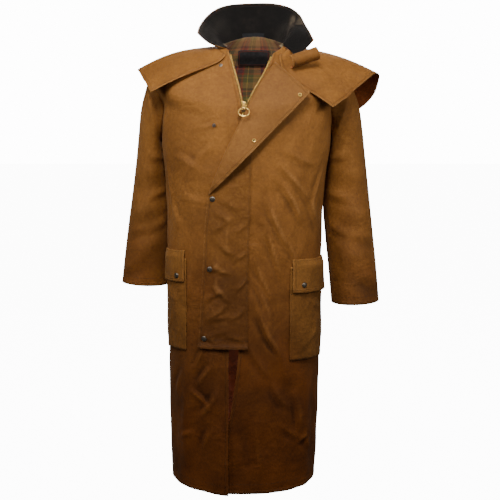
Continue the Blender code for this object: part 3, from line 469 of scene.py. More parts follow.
class Finish:
    """A procedural material, with short calls for the nodes that the cloths share."""

    def __init__(self, name):
        self.material = bpy.data.materials.new(name)
        self.material.use_nodes = True
        self.tree = self.material.node_tree
        self.shader = self.tree.nodes["Principled BSDF"]
        self.place = self.node("ShaderNodeTexCoord").outputs["Object"]

    def node(self, kind, **settings):
        made = self.tree.nodes.new(kind)
        for key, value in settings.items():
            setattr(made, key, value)
        return made

    def feed(self, socket, value):
        if isinstance(value, bpy.types.NodeSocket):
            self.tree.links.new(value, socket)
        else:
            socket.default_value = value

    def noise(self, scale, detail, roughness, distortion=0.0):
        made = self.node("ShaderNodeTexNoise")
        values = {"Scale": scale, "Detail": detail, "Roughness": roughness, "Distortion": distortion}
        for label, value in values.items():
            made.inputs[label].default_value = value
        self.feed(made.inputs["Vector"], self.place)
        return made.outputs["Fac"]

    def math(self, operation, first, second=0.0):
        made = self.node("ShaderNodeMath", operation=operation)
        self.feed(made.inputs[0], first)
        self.feed(made.inputs[1], second)
        return made.outputs[0]

    def times(self, first, second):
        return self.math("MULTIPLY", first, second)

    def away(self, value, middle=0.5):
        """How far a value is from a middle one, either way."""
        return self.math("ABSOLUTE", self.math("SUBTRACT", value, middle))

    def wave(self, axis, pitch):
        return self.math("SINE", self.times(axis, 2 * math.pi / pitch))

    def repeat(self, axis, pitch):
        return self.math("FRACT", self.math("DIVIDE", axis, pitch))

    def spread(self, value, low, high, to_low=0.0, to_high=1.0):
        made = self.node("ShaderNodeMapRange", interpolation_type="SMOOTHSTEP")
        for label, part in (("From Min", low), ("From Max", high), ("To Min", to_low), ("To Max", to_high)):
            made.inputs[label].default_value = part
        self.feed(made.inputs["Value"], value)
        return made.outputs["Result"]

    def blend(self, amount, first, second, how="MIX"):
        made = self.node("ShaderNodeMix", data_type="RGBA", blend_type=how)
        self.feed(made.inputs["Factor"], amount)
        self.feed(made.inputs["A"], first)
        self.feed(made.inputs["B"], second)
        return made.outputs["Result"]

    def ramp(self, value, stops, constant=False):
        made = self.node("ShaderNodeValToRGB")
        made.color_ramp.interpolation = "CONSTANT" if constant else "LINEAR"
        points = made.color_ramp.elements
        while len(points) < len(stops):
            points.new(1.0)
        for point, (place, colour) in zip(points, stops):
            point.position = place
            point.color = (*colour, 1)
        self.feed(made.inputs["Fac"], value)
        return made.outputs["Color"]

    def stored(self, name):
        return self.node("ShaderNodeAttribute", attribute_name=name).outputs["Fac"]

    def axes(self, vector):
        made = self.node("ShaderNodeSeparateXYZ")
        self.tree.links.new(vector, made.inputs[0])
        return made.outputs

    def height(self):
        return self.axes(self.place)["Z"]

    def cut_axes(self):
        """The cloth's own directions: metres across and up the cut."""
        cut = self.axes(self.node("ShaderNodeUVMap", uv_map="cut").outputs["UV"])
        return cut["X"], cut["Y"]

    def relief(self, height, depth, strength, under=None):
        made = self.node("ShaderNodeBump")
        made.inputs["Strength"].default_value = strength
        made.inputs["Distance"].default_value = depth
        self.feed(made.inputs["Height"], height)
        if under is not None:
            self.tree.links.new(under, made.inputs["Normal"])
        return made.outputs["Normal"]

    def set(self, **values):
        """Feeds the shader's inputs, named in small letters, and returns the material."""
        for label, value in values.items():
            name = label.replace("_", " ").title().replace("Ior", "IOR")
            self.feed(self.shader.inputs[name], value)
        return self.material


WAX_TONES = ((0.144, 0.054, 0.0092), (0.197, 0.078, 0.0144), (0.255, 0.107, 0.0230))
REVERSE_TONES = ((0.220, 0.054, 0.014), (0.340, 0.090, 0.024), (0.430, 0.130, 0.038))
WORN_EDGE, WORN_REVERSE = (0.380, 0.180, 0.055), (0.34, 0.12, 0.036)
SMUDGE, RUST, WAX_SHEEN = (0.50, 0.46, 0.42, 1), (0.150, 0.040, 0.0040, 1), (0.95, 0.70, 0.45, 1)
# Painted shade of the skirt: the colour is multiplied darker and redder towards the hem, from the first
# height down to the second.
SKIRT_PAINTED_SHADE, SKIRT_SHADE_TOP, SKIRT_SHADE_END = (0.46, 0.305, 0.130, 1), -0.24, -1.08
TONE_STOPS, TROUGH_SHADE, WEAVE_PITCH = (0.34, 0.50, 0.68), 0.45, 0.0011


def waxed_cotton(name, tones, worn, dulled=0.68, hemmed=True, run=1.0):
    """Tight cotton weave soaked in wax, rubbed pale along creases and edges. Painted shade makes it darker
    and redder towards the skirt, as the light falls off downwards, as far as run gives, and dark in the
    troughs of the creases."""
    made = Finish(name)
    worn, trough = (*worn, 1), (*(TROUGH_SHADE * c for c in tones[0]), 1)
    patches = made.noise(6.0, 4.0, 0.55)
    flecks = made.noise(120.0, 6.0, 0.70, 0.3)
    mixed = made.math("ADD", made.times(patches, 0.45), made.times(flecks, 0.55))
    colour = made.ramp(mixed, tuple(zip(TONE_STOPS, tones)))
    crease = made.stored("crease")
    crest = made.times(made.spread(crease, 0.0012, 0.0050, 0.0, 0.55), made.spread(flecks, 0.25, 0.65, 0.4))
    colour = made.blend(crest, colour, worn)
    # Painted shade: the troughs of the creases are darkened.
    colour = made.blend(made.spread(crease, -0.0004, -0.0026, 0.0, 0.68), colour, trough)
    crack = made.away(made.noise(21.0, 3.0, 0.5, 0.9))
    rubbed = made.times(made.spread(crack, 0.0, 0.012, 1.0, 0.0), made.spread(flecks, 0.45, 0.70))
    colour = made.blend(made.times(rubbed, 0.25), colour, worn)
    hem, seam = made.stored("hem"), made.stored("seam")
    edge = made.times(made.spread(hem, 0.0005, 0.0035, 0.48, 0.0), made.spread(flecks, 0.34, 0.62))
    colour = made.blend(edge, colour, worn)
    # Painted shade: darker and redder towards the hem, as the light falls off downwards; run sets how much.
    low = made.spread(made.height(), SKIRT_SHADE_END, SKIRT_SHADE_TOP, run, 0.0)
    colour = made.blend(low, colour, SKIRT_PAINTED_SHADE, "MULTIPLY")
    smudge = made.spread(made.noise(8.0, 6.0, 0.60, 0.6), 0.36, 0.60, 1.0, 0.0)
    smudge = made.times(smudge, made.spread(low, 0.0, 0.5, 0.28, 0.58))
    colour = made.blend(smudge, colour, SMUDGE, "MULTIPLY")
    rust = made.times(made.spread(made.noise(5.0, 3.0, 0.5), 0.48, 0.66), low)
    colour = made.blend(made.times(rust, 0.5), colour, RUST)
    across, upward = made.cut_axes()
    weave = made.times(made.wave(across, WEAVE_PITCH), made.wave(upward, WEAVE_PITCH))
    crumple = made.away(made.noise(9.0, 4.0, 0.55, 0.5))
    finer = made.away(made.noise(24.0, 4.0, 0.60, 0.4))
    crumple = made.math("ADD", crumple, made.times(finer, 0.45))
    crumple = made.times(crumple, made.spread(made.noise(4.0, 2.0, 0.5), 0.35, 0.65, 0.35, 1.0))
    soft = made.relief(made.times(crumple, -1.0), 0.0190, 0.60)
    pucker = made.times(made.noise(78.0, 2.0, 0.5), made.spread(seam, 0.004, 0.024, 1.0, 0.0))
    soft = made.relief(pucker, 0.0034, 0.60, soft)
    if hemmed:
        turned = made.spread(hem, HEM_WIDTH - 0.0015, HEM_WIDTH + 0.0010, 1.0, 0.0)
        sunk = made.spread(made.away(hem, HEM_WIDTH - 0.0025), 0.0, 0.0014, 1.0, 0.0)
        soft = made.relief(made.math("SUBTRACT", turned, made.times(sunk, 0.8)), 0.0011, 0.9, soft)
    soft = made.relief(weave, 0.00010, 0.5, soft)
    rough = made.spread(mixed, 0.35, 0.65, dulled - 0.07, dulled + 0.10)
    return made.set(base_color=colour, normal=soft, roughness=rough, specular_ior_level=0.14,
                    sheen_weight=0.05, sheen_roughness=0.45, sheen_tint=WAX_SHEEN)


WAXED = waxed_cotton("waxed_cotton", WAX_TONES, WORN_EDGE)
REVERSE = waxed_cotton("waxed_cotton_reverse", REVERSE_TONES, WORN_REVERSE, 0.75, hemmed=False)

panel_levels = np.concatenate((
    np.linspace(HEM, ARMPIT, SKIRT_STEPS + 1)[:-1],
    np.linspace(ARMPIT, SHOULDER, ARMHOLE_STEPS + 1)[:-1],
    np.linspace(SHOULDER, NECK, SHOULDER_STEPS + 1),
))


def front_points(side):
    level = np.repeat(panel_levels[:, None], FRONT_COLUMNS + 1, axis=1)
    u = np.linspace(0, 1, FRONT_COLUMNS + 1)[None]
    right_x, left_x = FRONT_EDGE(level)
    edge = front_angle(left_x if side == "left" else right_x, level)
    limit = armhole_limit(level, ARMHOLE_FRONT)
    limit = limit - seam_angle(limit, level)
    if side == "left":
        angle = mix(edge, limit, u)
        return body_point(angle, level), body_creases(angle, level)
    angle = mix(-limit, edge, u)
    near = np.exp(-(((angle - edge) / OVERLAP_SPREAD) ** 2))
    lift = OVERLAP_LIFT * near * ease((OVERLAP_TOP - level) / (OVERLAP_TOP - HEM))
    return body_point(angle, level, lift), body_creases(angle, level)


def back_points(levels):
    level = np.repeat(levels[:, None], BACK_COLUMNS + 1, axis=1)
    limit = armhole_limit(level, ARMHOLE_BACK)
    limit = limit + seam_angle(limit, level)
    angle = mix(limit, 360 - limit, np.linspace(0, 1, BACK_COLUMNS + 1)[None])
    return body_point(angle, level), body_creases(angle, level)


skirt_points, skirt_creases = back_points(np.append(panel_levels[:SKIRT_STEPS], ARMPIT - SEAM_HALF_GAP))
yoke_points, yoke_creases = back_points(np.append(ARMPIT + SEAM_HALF_GAP, panel_levels[SKIRT_STEPS + 1 :]))
back = cloth_shell("back", skirt_points, CLOTH, (WAXED, REVERSE), ("bottom",), ("left", "right", "top"),
                   creased=skirt_creases)
yoke = cloth_shell("back_yoke", yoke_points, CLOTH, (WAXED, REVERSE), (), ("left", "right", "bottom", "top"),
                   creased=yoke_creases)
left_points, left_creases = front_points("left")
right_points, right_creases = front_points("right")
front_left = cloth_shell("front_left", left_points, CLOTH, (WAXED, REVERSE), ("bottom", "left"),
                         ("right", "top"), creased=left_creases)
front_right = cloth_shell("front_right", right_points, CLOTH, (WAXED, REVERSE), ("bottom", "right"),
                          ("left", "top"), creased=right_creases)


# Sleeves: tubes of waxed cotton set into the armholes, with soft creases at the elbow
# and below the shoulder. Each hangs a little behind the body's side and ends in a stitched hem.
Ring = namedtuple("Ring", "station outer_x outer_z inner_x inner_z half_depth centre_y")
LEFT_SLEEVE = (
    Ring(1.0, 0.288, -0.120, 0.2335, -0.276, 0.066, 0.010),
    Ring(2.0, 0.311, -0.178, 0.2265, -0.302, 0.074, 0.034),
    Ring(3.0, 0.323, -0.240, 0.222, -0.336, 0.078, 0.050),
    Ring(4.0, 0.334, -0.325, 0.2175, -0.390, 0.078, 0.058),
    Ring(5.0, 0.346, -0.428, 0.2165, -0.460, 0.076, 0.054),
    Ring(6.0, 0.356, -0.522, 0.223, -0.540, 0.073, 0.042),
    Ring(7.0, 0.366, -0.620, 0.232, -0.630, 0.069, 0.026),
    Ring(8.0, 0.374, -0.716, 0.240, -0.722, 0.065, 0.010),
)
RIGHT_SLEEVE = (
    Ring(1.0, 0.270, -0.122, 0.2320, -0.276, 0.066, 0.012),
    Ring(2.0, 0.288, -0.182, 0.2255, -0.302, 0.074, 0.034),
    Ring(3.0, 0.297, -0.244, 0.221, -0.336, 0.078, 0.050),
    Ring(4.0, 0.307, -0.326, 0.2155, -0.386, 0.078, 0.060),
    Ring(5.0, 0.320, -0.420, 0.2130, -0.450, 0.076, 0.063),
    Ring(6.0, 0.333, -0.508, 0.2135, -0.526, 0.072, 0.062),
    Ring(7.0, 0.344, -0.592, 0.2160, -0.602, 0.067, 0.057),
    Ring(8.0, 0.353, -0.671, 0.2195, -0.677, 0.062, 0.050),
)
SLEEVE_HEAD_GAP, SLEEVE_COLUMNS, SLEEVE_ROWS = 0.0008, 76, 124
SLEEVE_GAIN, SLEEVE_TROUGH, SLEEVE_TROUGH_AT, SLEEVE_WEAR_AND_SHADE = 1.25, 0.6, 1.5, 0.5
# Place round the sleeve from the underarm by the front, and along its stations. The width is a
# share of all the stations.
SleeveFold = namedtuple("SleeveFold", "start_turn start_station end_turn end_station width height")
SLEEVE_FOLDS = (
    SleeveFold(0.10, 3.4, 0.42, 4.4, 0.06, 0.004),
    SleeveFold(0.14, 4.9, 0.46, 5.6, 0.06, 0.005),
    SleeveFold(0.12, 6.3, 0.40, 6.8, 0.06, 0.004),
    SleeveFold(0.60, 3.6, 0.90, 4.6, 0.06, 0.004),
    SleeveFold(0.58, 5.4, 0.88, 6.0, 0.06, 0.004),
    SleeveFold(0.06, 2.6, 0.30, 3.5, 0.03, 0.003),
    SleeveFold(0.05, 4.3, 0.28, 4.9, 0.02, 0.003),
    SleeveFold(0.20, 5.9, 0.44, 6.2, 0.02, 0.003),
    SleeveFold(0.08, 5.6, 0.24, 5.9, 0.02, 0.003),
    SleeveFold(0.24, 7.0, 0.46, 7.5, 0.03, 0.003),
    SleeveFold(0.66, 4.9, 0.84, 5.2, 0.02, 0.003),
    SleeveFold(0.62, 6.6, 0.92, 7.1, 0.03, 0.003),
    SleeveFold(0.70, 2.6, 0.95, 3.3, 0.03, 0.003),
)


def armhole_points(sign, turn):
    """The armhole: 0 is the armpit, then up the front, 0.5 the shoulder, and down the back."""
    level = mix(ARMPIT, SHOULDER, 1 - np.abs(2 * turn - 1))
    limit = np.where(turn < 0.5, armhole_limit(level, ARMHOLE_FRONT), armhole_limit(level, ARMHOLE_BACK))
    return body_point(limit if sign > 0 else 360 - limit, level)


def sleeve_points(sign, rings):
    u, v = grid(SLEEVE_COLUMNS, SLEEVE_ROWS)
    turn = (u if sign > 0 else 1 - u) % 1.0
    station = (1 - v) * rings[-1].station
    past = np.maximum(station, 1.0)
    height = np.zeros_like(u)
    for fold in SLEEVE_FOLDS:
        t = np.clip((turn - fold.start_turn) / (fold.end_turn - fold.start_turn), 0, 1)
        away = (past - mix(fold.start_station, fold.end_station, t)) / (fold.width * rings[-1].station)
        ridge = np.exp(-away * away) - SLEEVE_TROUGH * np.exp(-((away - SLEEVE_TROUGH_AT) ** 2))
        height += SLEEVE_GAIN * fold.height * ridge * np.sin(math.pi * t)
    outer_x, outer_z, inner_x, inner_z, half_depth, centre_y = SmoothTable(rings)(past)
    swing, reach = np.sin(2 * math.pi * turn), np.cos(2 * math.pi * turn)
    grow = 1 + height / half_depth
    x = (outer_x + inner_x) / 2 - (outer_x - inner_x) / 2 * reach * grow
    z = (outer_z + inner_z) / 2 - (outer_z - inner_z) / 2 * reach * grow
    ring = np.stack((sign * x, centre_y - half_depth * swing * grow, z), -1)
    edge = armhole_points(sign, turn)
    edge = edge + unit(ring - edge) * SLEEVE_HEAD_GAP
    return mix(edge, ring, np.clip(station, 0, 1)[..., None]), height


sleeve_shapes = {"left": sleeve_points(1, LEFT_SLEEVE), "right": sleeve_points(-1, RIGHT_SLEEVE)}
# The sleeves' fold heights give pale wear on the crests and painted shade in the troughs.
for side, (points, folds) in sleeve_shapes.items():
    sleeve = cloth_shell(f"sleeve_{side}", points, CLOTH, (WAXED, REVERSE), ("bottom",), ("top",), tube=True,
                         creased=SLEEVE_WEAR_AND_SHADE * folds)


# Cape: a shoulder cape in one piece, sewn in at the neck under the collar. It stands off
# the shoulders like a low roof, its edge is hemmed, and its dark reverse shows at the tips.
Spread = namedtuple("Spread", "neck_angle x y z bulge")
CAPE = (
    Spread(-320, 0.227, -0.126, -0.177, 0.008),
    Spread(-290, 0.292, -0.060, -0.134, 0.014),
    Spread(-272, 0.352, 0.000, -0.091, 0.012),
    Spread(-252, 0.367, 0.075, -0.121, 0.018),
    Spread(-232, 0.335, 0.128, -0.182, 0.026),
    Spread(-212, 0.220, 0.166, -0.246, 0.030),
    Spread(-180, 0.006, 0.186, -0.286, 0.032),
    Spread(-148, -0.190, 0.162, -0.240, 0.030),
    Spread(-128, -0.258, 0.122, -0.170, 0.026),
    Spread(-108, -0.284, 0.062, -0.106, 0.018),
    Spread(-88, -0.292, 0.000, -0.082, 0.014),
    Spread(-70, -0.272, -0.052, -0.106, 0.014),
    Spread(-42, -0.247, -0.116, -0.138, 0.008),
)
CAPE_DROP, CAPE_SEAT = 0.007, 0.0009
CAPE_BOW_LEFT, CAPE_BOW_RIGHT, CAPE_BOW_WIDTH = 0.042, 0.015, 0.08
CAPE_BOW_WAY, CAPE_WAVE, CAPE_WAVE_FROM = np.array((0, -0.4, -1.0)), 0.0016, 0.12
CAPE_FRONT_SHARE, CAPE_CLEAR = 0.16, 0.0055
CAPE_COLUMNS, CAPE_ROWS = 210, 52


def spread_points(edge_form, angle, v, root):
    """Cloth that leaves the neck at its root and reaches the outer edge in a low arch."""
    x, y, z, bulge = edge_form(angle)
    run = np.stack((x, y, z), -1) - root
    level_run = run * (1, 1, 0)
    flat = np.linalg.norm(level_run, axis=-1, keepdims=True)
    arch = flat * np.array((0, 0, 1.0)) - unit(level_run) * run[..., 2:]
    return root + run * v[..., None] + unit(arch) * (bulge * np.sin(math.pi * v))[..., None]


u, v = grid(CAPE_COLUMNS, CAPE_ROWS)
cape_angle = mix(CAPE[0].neck_angle, CAPE[-1].neck_angle, u)
cape_root = body_point(cape_angle, NECK - CAPE_DROP, CAPE_SEAT)
cape_points = spread_points(SmoothTable(CAPE), cape_angle, v, cape_root)
bow = np.where(u < 0.5, CAPE_BOW_LEFT, CAPE_BOW_RIGHT)
bow = bow * np.exp(-((np.minimum(u, 1 - u) / CAPE_BOW_WIDTH) ** 2)) * np.sin(math.pi * v**0.45)
cape_points = cape_points + CAPE_BOW_WAY * bow[..., None]
waves = np.sin(u * 61 + 0.6) + 0.7 * np.sin(u * 97 + 2.0 + 2.5 * v) + 0.5 * np.sin(u * 31 + 3 * v)
cape_points[..., 2] += CAPE_WAVE * (1.4 + waves) * v**1.5 * ease(np.minimum(u, 1 - u) / CAPE_WAVE_FROM)
front = (v > 0) & (np.minimum(u, 1 - u) < CAPE_FRONT_SHARE)
below = on_front(cape_points[front][:, 0], cape_points[front][:, 2])[..., 1] - CAPE_CLEAR
cape_points[front, 1] = np.minimum(cape_points[front, 1], below)
cape_points = cape_points[:, ::-1]
cape_points = cape_points + surface_normals(cape_points, False) * CLOTH
cape = cloth_shell("cape", cape_points, CLOTH, (WAXED, REVERSE), ("top", "left", "right"), ("bottom",))


# Collar: corduroy on the side that shows and waxed cotton below, worn turned up.
# The corduroy's ribs run from the neck to the edge, rubbed pale where it creases.
COLLAR_PLY, COLLAR_RAISE = 0.0016, 0.0006
COLLAR_END_FROM, COLLAR_END_DROP, COLLAR_END_LIFT = -289.0, 0.022, 0.012
COLLAR = (
    Spread(-311, 0.179, -0.054, -0.003, -0.006),
    Spread(-293, 0.168, -0.008, 0.022, 0.009),
    Spread(-275, 0.158, 0.026, 0.042, 0.014),
    Spread(-256, 0.146, 0.056, 0.067, 0.014),
    Spread(-236, 0.122, 0.082, 0.087, 0.010),
    Spread(-212, 0.082, 0.100, 0.099, 0.006),
    Spread(-180, 0.020, 0.106, 0.101, 0.004),
    Spread(-146, -0.050, 0.095, 0.095, 0.006),
    Spread(-122, -0.082, 0.076, 0.083, 0.008),
    Spread(-103, -0.103, 0.050, 0.066, 0.008),
    Spread(-86, -0.118, 0.018, 0.046, 0.004),
    Spread(-70, -0.125, -0.018, 0.030, -0.002),
    Spread(-54, -0.127, -0.058, 0.014, -0.009),
)
COLLAR_COLUMNS, COLLAR_ROWS, RIB_PITCH, COLLAR_SHOWS = 150, 34, 0.0026, 1.026
# Dents of the turned-up collar, by share round it and up it, with depth
COLLAR_DENTS = (
    (0.085, 0.05, 0.150, 0.62, 0.004, 0.008, -0.0046),
    (0.150, 0.62, 0.110, 1.00, 0.000, 0.008, -0.0040),
    (0.150, 0.62, 0.230, 0.98, 0.000, 0.009, -0.0042),
    (0.860, 0.10, 0.900, 0.80, 0.004, 0.010, -0.0018),
    (0.420, 0.15, 0.520, 0.40, 0.004, 0.012, -0.0012),
)
COLLAR_ROUND, COLLAR_TALL, COLLAR_FOOT = 0.46, 0.115, 0.004
DENT_WAY, DENT_FROM = np.array((0, 1.0, 0.2)), 0.2
WORN_SPOT, WORN_SPOT_SIZE, WORN_SPOT_MARK = (0.178, 0.80), (0.070, 0.30), 0.0050


def collar_points(u, v):
    angle = mix(COLLAR[0].neck_angle, COLLAR[-1].neck_angle, u)
    share = ease((COLLAR_END_FROM - angle) / (COLLAR_END_FROM - COLLAR[0].neck_angle))
    level, lift = NECK - COLLAR_END_DROP * share, COLLAR_END_LIFT * share
    top, below = body_point(angle, level, lift), body_point(angle, level - COLLAR_FOOT, lift)
    points = spread_points(SmoothTable(COLLAR), angle, v, top + unit(top - below) * COLLAR_RAISE)
    dents = [(a * COLLAR_ROUND, b * COLLAR_TALL, c * COLLAR_ROUND, d * COLLAR_TALL, e, w, h)
             for a, b, c, d, e, w, h in COLLAR_DENTS]
    sunk = crease_height(u * COLLAR_ROUND, v * COLLAR_TALL, dents) * ease(v / DENT_FROM)
    return points + DENT_WAY * -sunk[..., None], sunk


CORD_STOPS = (0.36, 0.56, 0.76)
CORD_TONES = ((0.0030, 0.0026, 0.0022), (0.0060, 0.0049, 0.0040), (0.015, 0.0110, 0.0080))
CORD_RUBBED, CORD_SHEEN = (0.120, 0.088, 0.056, 1), (0.50, 0.40, 0.32, 1)
# Painted shade: dark colours for the valleys between the ribs and for the collar's dents.
CORD_VALLEY_SHADE, CORD_DENT_SHADE = (0.004, 0.003, 0.003, 1), (0.0015, 0.0012, 0.0010, 1)


def corduroy():
    """Dark cotton pile cut into narrow ribs, its nap rubbed brown on the high places, with painted shade in
    the valleys between the ribs and in the collar's dents.
    """
    made = Finish("corduroy")
    across, _ = made.cut_axes()
    rib = made.wave(across, RIB_PITCH)
    nap = made.noise(60.0, 5.0, 0.65)
    patches = made.noise(14.0, 4.0, 0.6)
    shade = made.math("ADD", made.times(patches, 0.6), made.times(nap, 0.4))
    colour = made.ramp(shade, tuple(zip(CORD_STOPS, CORD_TONES)))
    # Painted shade: the valleys between the ribs are darkened.
    colour = made.blend(made.spread(rib, -1.0, 0.3, 0.55, 0.0), colour, CORD_VALLEY_SHADE)
    hem, dent = made.stored("hem"), made.stored("crease")
    rubbed = made.times(made.spread(hem, 0.0005, 0.0040, 0.6, 0.0), made.spread(nap, 0.4, 0.6))
    colour = made.blend(rubbed, colour, CORD_RUBBED)
    bare = made.times(made.spread(dent, 0.0010, 0.0052, 0.0, 0.60), made.spread(nap, 0.30, 0.62, 0.3, 1.0))
    colour = made.blend(bare, colour, CORD_RUBBED)
    # Painted shade: the collar's dents are darkened.
    colour = made.blend(made.spread(dent, -0.0005, -0.0024, 0.0, 0.8), colour, CORD_DENT_SHADE)
    raised = made.relief(rib, 0.0007, 0.8, made.relief(nap, 0.0012, 0.35))
    return made.set(base_color=colour, normal=raised, roughness=0.92, specular_ior_level=0.15,
                    sheen_weight=0.06, sheen_roughness=0.35, sheen_tint=CORD_SHEEN)


u, v = grid(COLLAR_COLUMNS, COLLAR_ROWS)
face_points, face_dents = collar_points(u, v)
worn_u, worn_v = (u - WORN_SPOT[0]) / WORN_SPOT_SIZE[0], (v - WORN_SPOT[1]) / WORN_SPOT_SIZE[1]
face_dents = face_dents + WORN_SPOT_MARK * np.exp(-(worn_u**2 + worn_v**2))
inner_points = face_points - surface_normals(face_points, False) * (COLLAR_PLY + GAP)
under_points = collar_points(u, v * COLLAR_SHOWS)[0]
CORDUROY = corduroy()
under_collar = cloth_shell("under_collar", under_points, COLLAR_PLY, (WAXED, REVERSE),
                           ("top", "left", "right"), ("bottom",))
top_collar = cloth_shell("top_collar", inner_points, COLLAR_PLY, (CORDUROY,), ("top", "left", "right"),
                         ("bottom",), creased=face_dents)


# Throat tab: a short strap of waxed cotton rolled over under the left end of the collar,
# hemmed on three sides, with two rows of stitching across it.
TAB_START, TAB_END = np.array((0.116, -0.0995, -0.0585)), np.array((0.186, -0.0745, -0.0360))
TAB_RADIUS, TAB_FIRST, TAB_LAST = 0.0165, 125.0, -60.0
TAB_COLUMNS, TAB_ROWS = 24, 30

u, v = grid(TAB_COLUMNS, TAB_ROWS)
along = TAB_END - TAB_START
forward = unit(np.array((0, -1.0, 0)) + along * along[1] / along.dot(along))
upward = -np.cross(forward, unit(along))
turn = np.radians(mix(TAB_LAST, TAB_FIRST, v))[..., None]
outward = forward * np.cos(turn) + upward * np.sin(turn)
tab_points = (TAB_START + along * u[..., None] + outward * (TAB_RADIUS + CLOTH))[:, ::-1]
throat_tab = cloth_shell("throat_tab", tab_points, CLOTH, (WAXED, REVERSE), ("right", "bottom", "top"),
                         ("left",))


# Storm flap: waxed cotton, sewn to the left front and snapped across to the right below. Its top
# is turned back as a lapel, which shows its facing, and rolls over softly along the diagonal.
FLAP_BOTTOM, FLAP_TURN = -0.812, -0.404
FlapRow = namedtuple("FlapRow", "z free_x seam_x")
FLAP_ROWS = (
    FlapRow(FLAP_BOTTOM, -0.126, 0.004),
    FlapRow(-0.580, -0.112, 0.007),
    FlapRow(-0.450, -0.104, 0.011),
    FlapRow(FLAP_TURN, -0.098, 0.012),
)
LapelRow = namedtuple("LapelRow", "share roll_x roll_z seam_x seam_z")
LAPEL_ROWS = (
    LapelRow(0.000, -0.098, FLAP_TURN, 0.012, FLAP_TURN),
    LapelRow(0.354, -0.047, -0.281, 0.016, -0.300),
    LapelRow(0.535, -0.015, -0.217, 0.022, -0.235),
    LapelRow(0.701, 0.016, -0.158, 0.038, -0.175),
    LapelRow(0.853, 0.042, -0.106, 0.066, -0.118),
    LapelRow(1.000, 0.078, -0.062, 0.096, -0.078),
)
LAPEL_CORNER = (0.1655, -0.139)
FLAP_LIFT = CLOTH + LAY
ROLL, ROLL_NIP, NIP_SHARE, NIP_SPREAD, ROLL_FROM = 0.0055, 0.0028, 0.62, 0.14, 0.12
LAPEL_LIFT_LOW, LAPEL_LIFT_TOP, LAPEL_LIFT_FROM, LAPEL_LIFT_OVER = 0.014, 0.007, 0.1, 0.3
FLAP_LOWER_ROWS, FLAP_UPPER_ROWS, FLAP_COLUMNS = 70, 74, 90
FLAP_FLARE, FLARE_HEIGHT = 0.006, 0.016
PUCKER_GAIN, PUCKER_SINK, PUCKER_FROM_EDGE, PUCKER_FROM_TURN = 1.35, 0.0006, 0.10, 0.03
# Puckers of the flap: start and end across and down, bow, half-width, height
FLAP_PUCKERS = (
    (-0.118, -0.770, -0.060, -0.800, 0.004, 0.008, 0.0030),
    (-0.060, -0.776, 0.000, -0.792, -0.003, 0.006, 0.0026),
    (-0.104, -0.730, -0.050, -0.690, 0.006, 0.009, 0.0032),
    (-0.050, -0.735, 0.002, -0.700, 0.004, 0.007, 0.0030),
    (-0.100, -0.640, -0.040, -0.690, -0.006, 0.010, 0.0030),
    (-0.030, -0.655, 0.004, -0.620, 0.003, 0.006, 0.0028),
    (-0.092, -0.585, -0.030, -0.610, 0.004, 0.009, 0.0028),
    (-0.034, -0.575, 0.005, -0.548, 0.003, 0.006, 0.0026),
    (-0.080, -0.520, -0.020, -0.560, 0.006, 0.010, 0.0024),
    (-0.030, -0.500, 0.008, -0.470, 0.003, 0.006, 0.0024),
    (-0.085, -0.440, -0.030, -0.470, 0.005, 0.010, 0.0022),
    (-0.070, -0.400, -0.010, -0.440, 0.006, 0.010, 0.0022),
    (-0.075, -0.560, -0.070, -0.700, 0.006, 0.012, 0.0024),
    (-0.040, -0.440, -0.046, -0.560, 0.006, 0.012, 0.0020),
)
FLAP_EDGES, LAPEL_EDGES = SmoothTable(FLAP_ROWS), SmoothTable(LAPEL_ROWS)
# Painted shade: the flap's outside is a darker copy of the waxed cotton.
FLAP_SHADED_TONES = ((0.112, 0.042, 0.0070), (0.154, 0.060, 0.0105), (0.205, 0.084, 0.0170))
FACING_TONES = ((0.145, 0.056, 0.011), (0.190, 0.078, 0.016), (0.240, 0.105, 0.026))
WORN_FACING = (0.36, 0.18, 0.060)


def lapel_points(share, across):
    """The turned-back top of the flap: share up it, across from its seam to its free edge."""
    roll_x, roll_z, seam_x, seam_z = LAPEL_EDGES(share)
    roll, seam = np.stack((roll_x, roll_z), -1), np.stack((seam_x, seam_z), -1)
    first = np.array((LAPEL_ROWS[0].roll_x, LAPEL_ROWS[0].roll_z))
    edge = mix(first, np.array(LAPEL_CORNER), share[..., None])
    radius = ROLL - ROLL_NIP * np.exp(-(((share - NIP_SHARE) / NIP_SPREAD) ** 2))
    radius = np.maximum(radius * ease(share / ROLL_FROM), 1e-6)
    under = np.linalg.norm(seam - roll, axis=-1)
    over = np.maximum(np.linalg.norm(edge - roll, axis=-1), 1e-6)
    spare = (math.pi / 2 - 1) * radius
    distance = mix(-under - spare, over + spare, across)
    bend = np.clip(distance / radius + math.pi / 2, 0, math.pi)
    sideways = radius * (1 - np.sin(bend)) + np.maximum(np.abs(distance) - math.pi / 2 * radius, 0)
    to_seam, to_edge = (seam - roll) / under[..., None], (edge - roll) / over[..., None]
    way = np.where(distance[..., None] < 0, to_seam, to_edge)
    x, z = np.moveaxis(roll + way * sideways[..., None], -1, 0)
    rise = radius * (1 - np.cos(bend))
    lifted = mix(LAPEL_LIFT_LOW, LAPEL_LIFT_TOP, share) * ease(sideways / over)
    lifted = lifted * ease((share - LAPEL_LIFT_FROM) / LAPEL_LIFT_OVER)
    rise = rise + np.where(distance > 0, lifted, 0)
    return on_front(x, z, FLAP_LIFT) - rise[..., None] * np.array((0, 1.0, 0))


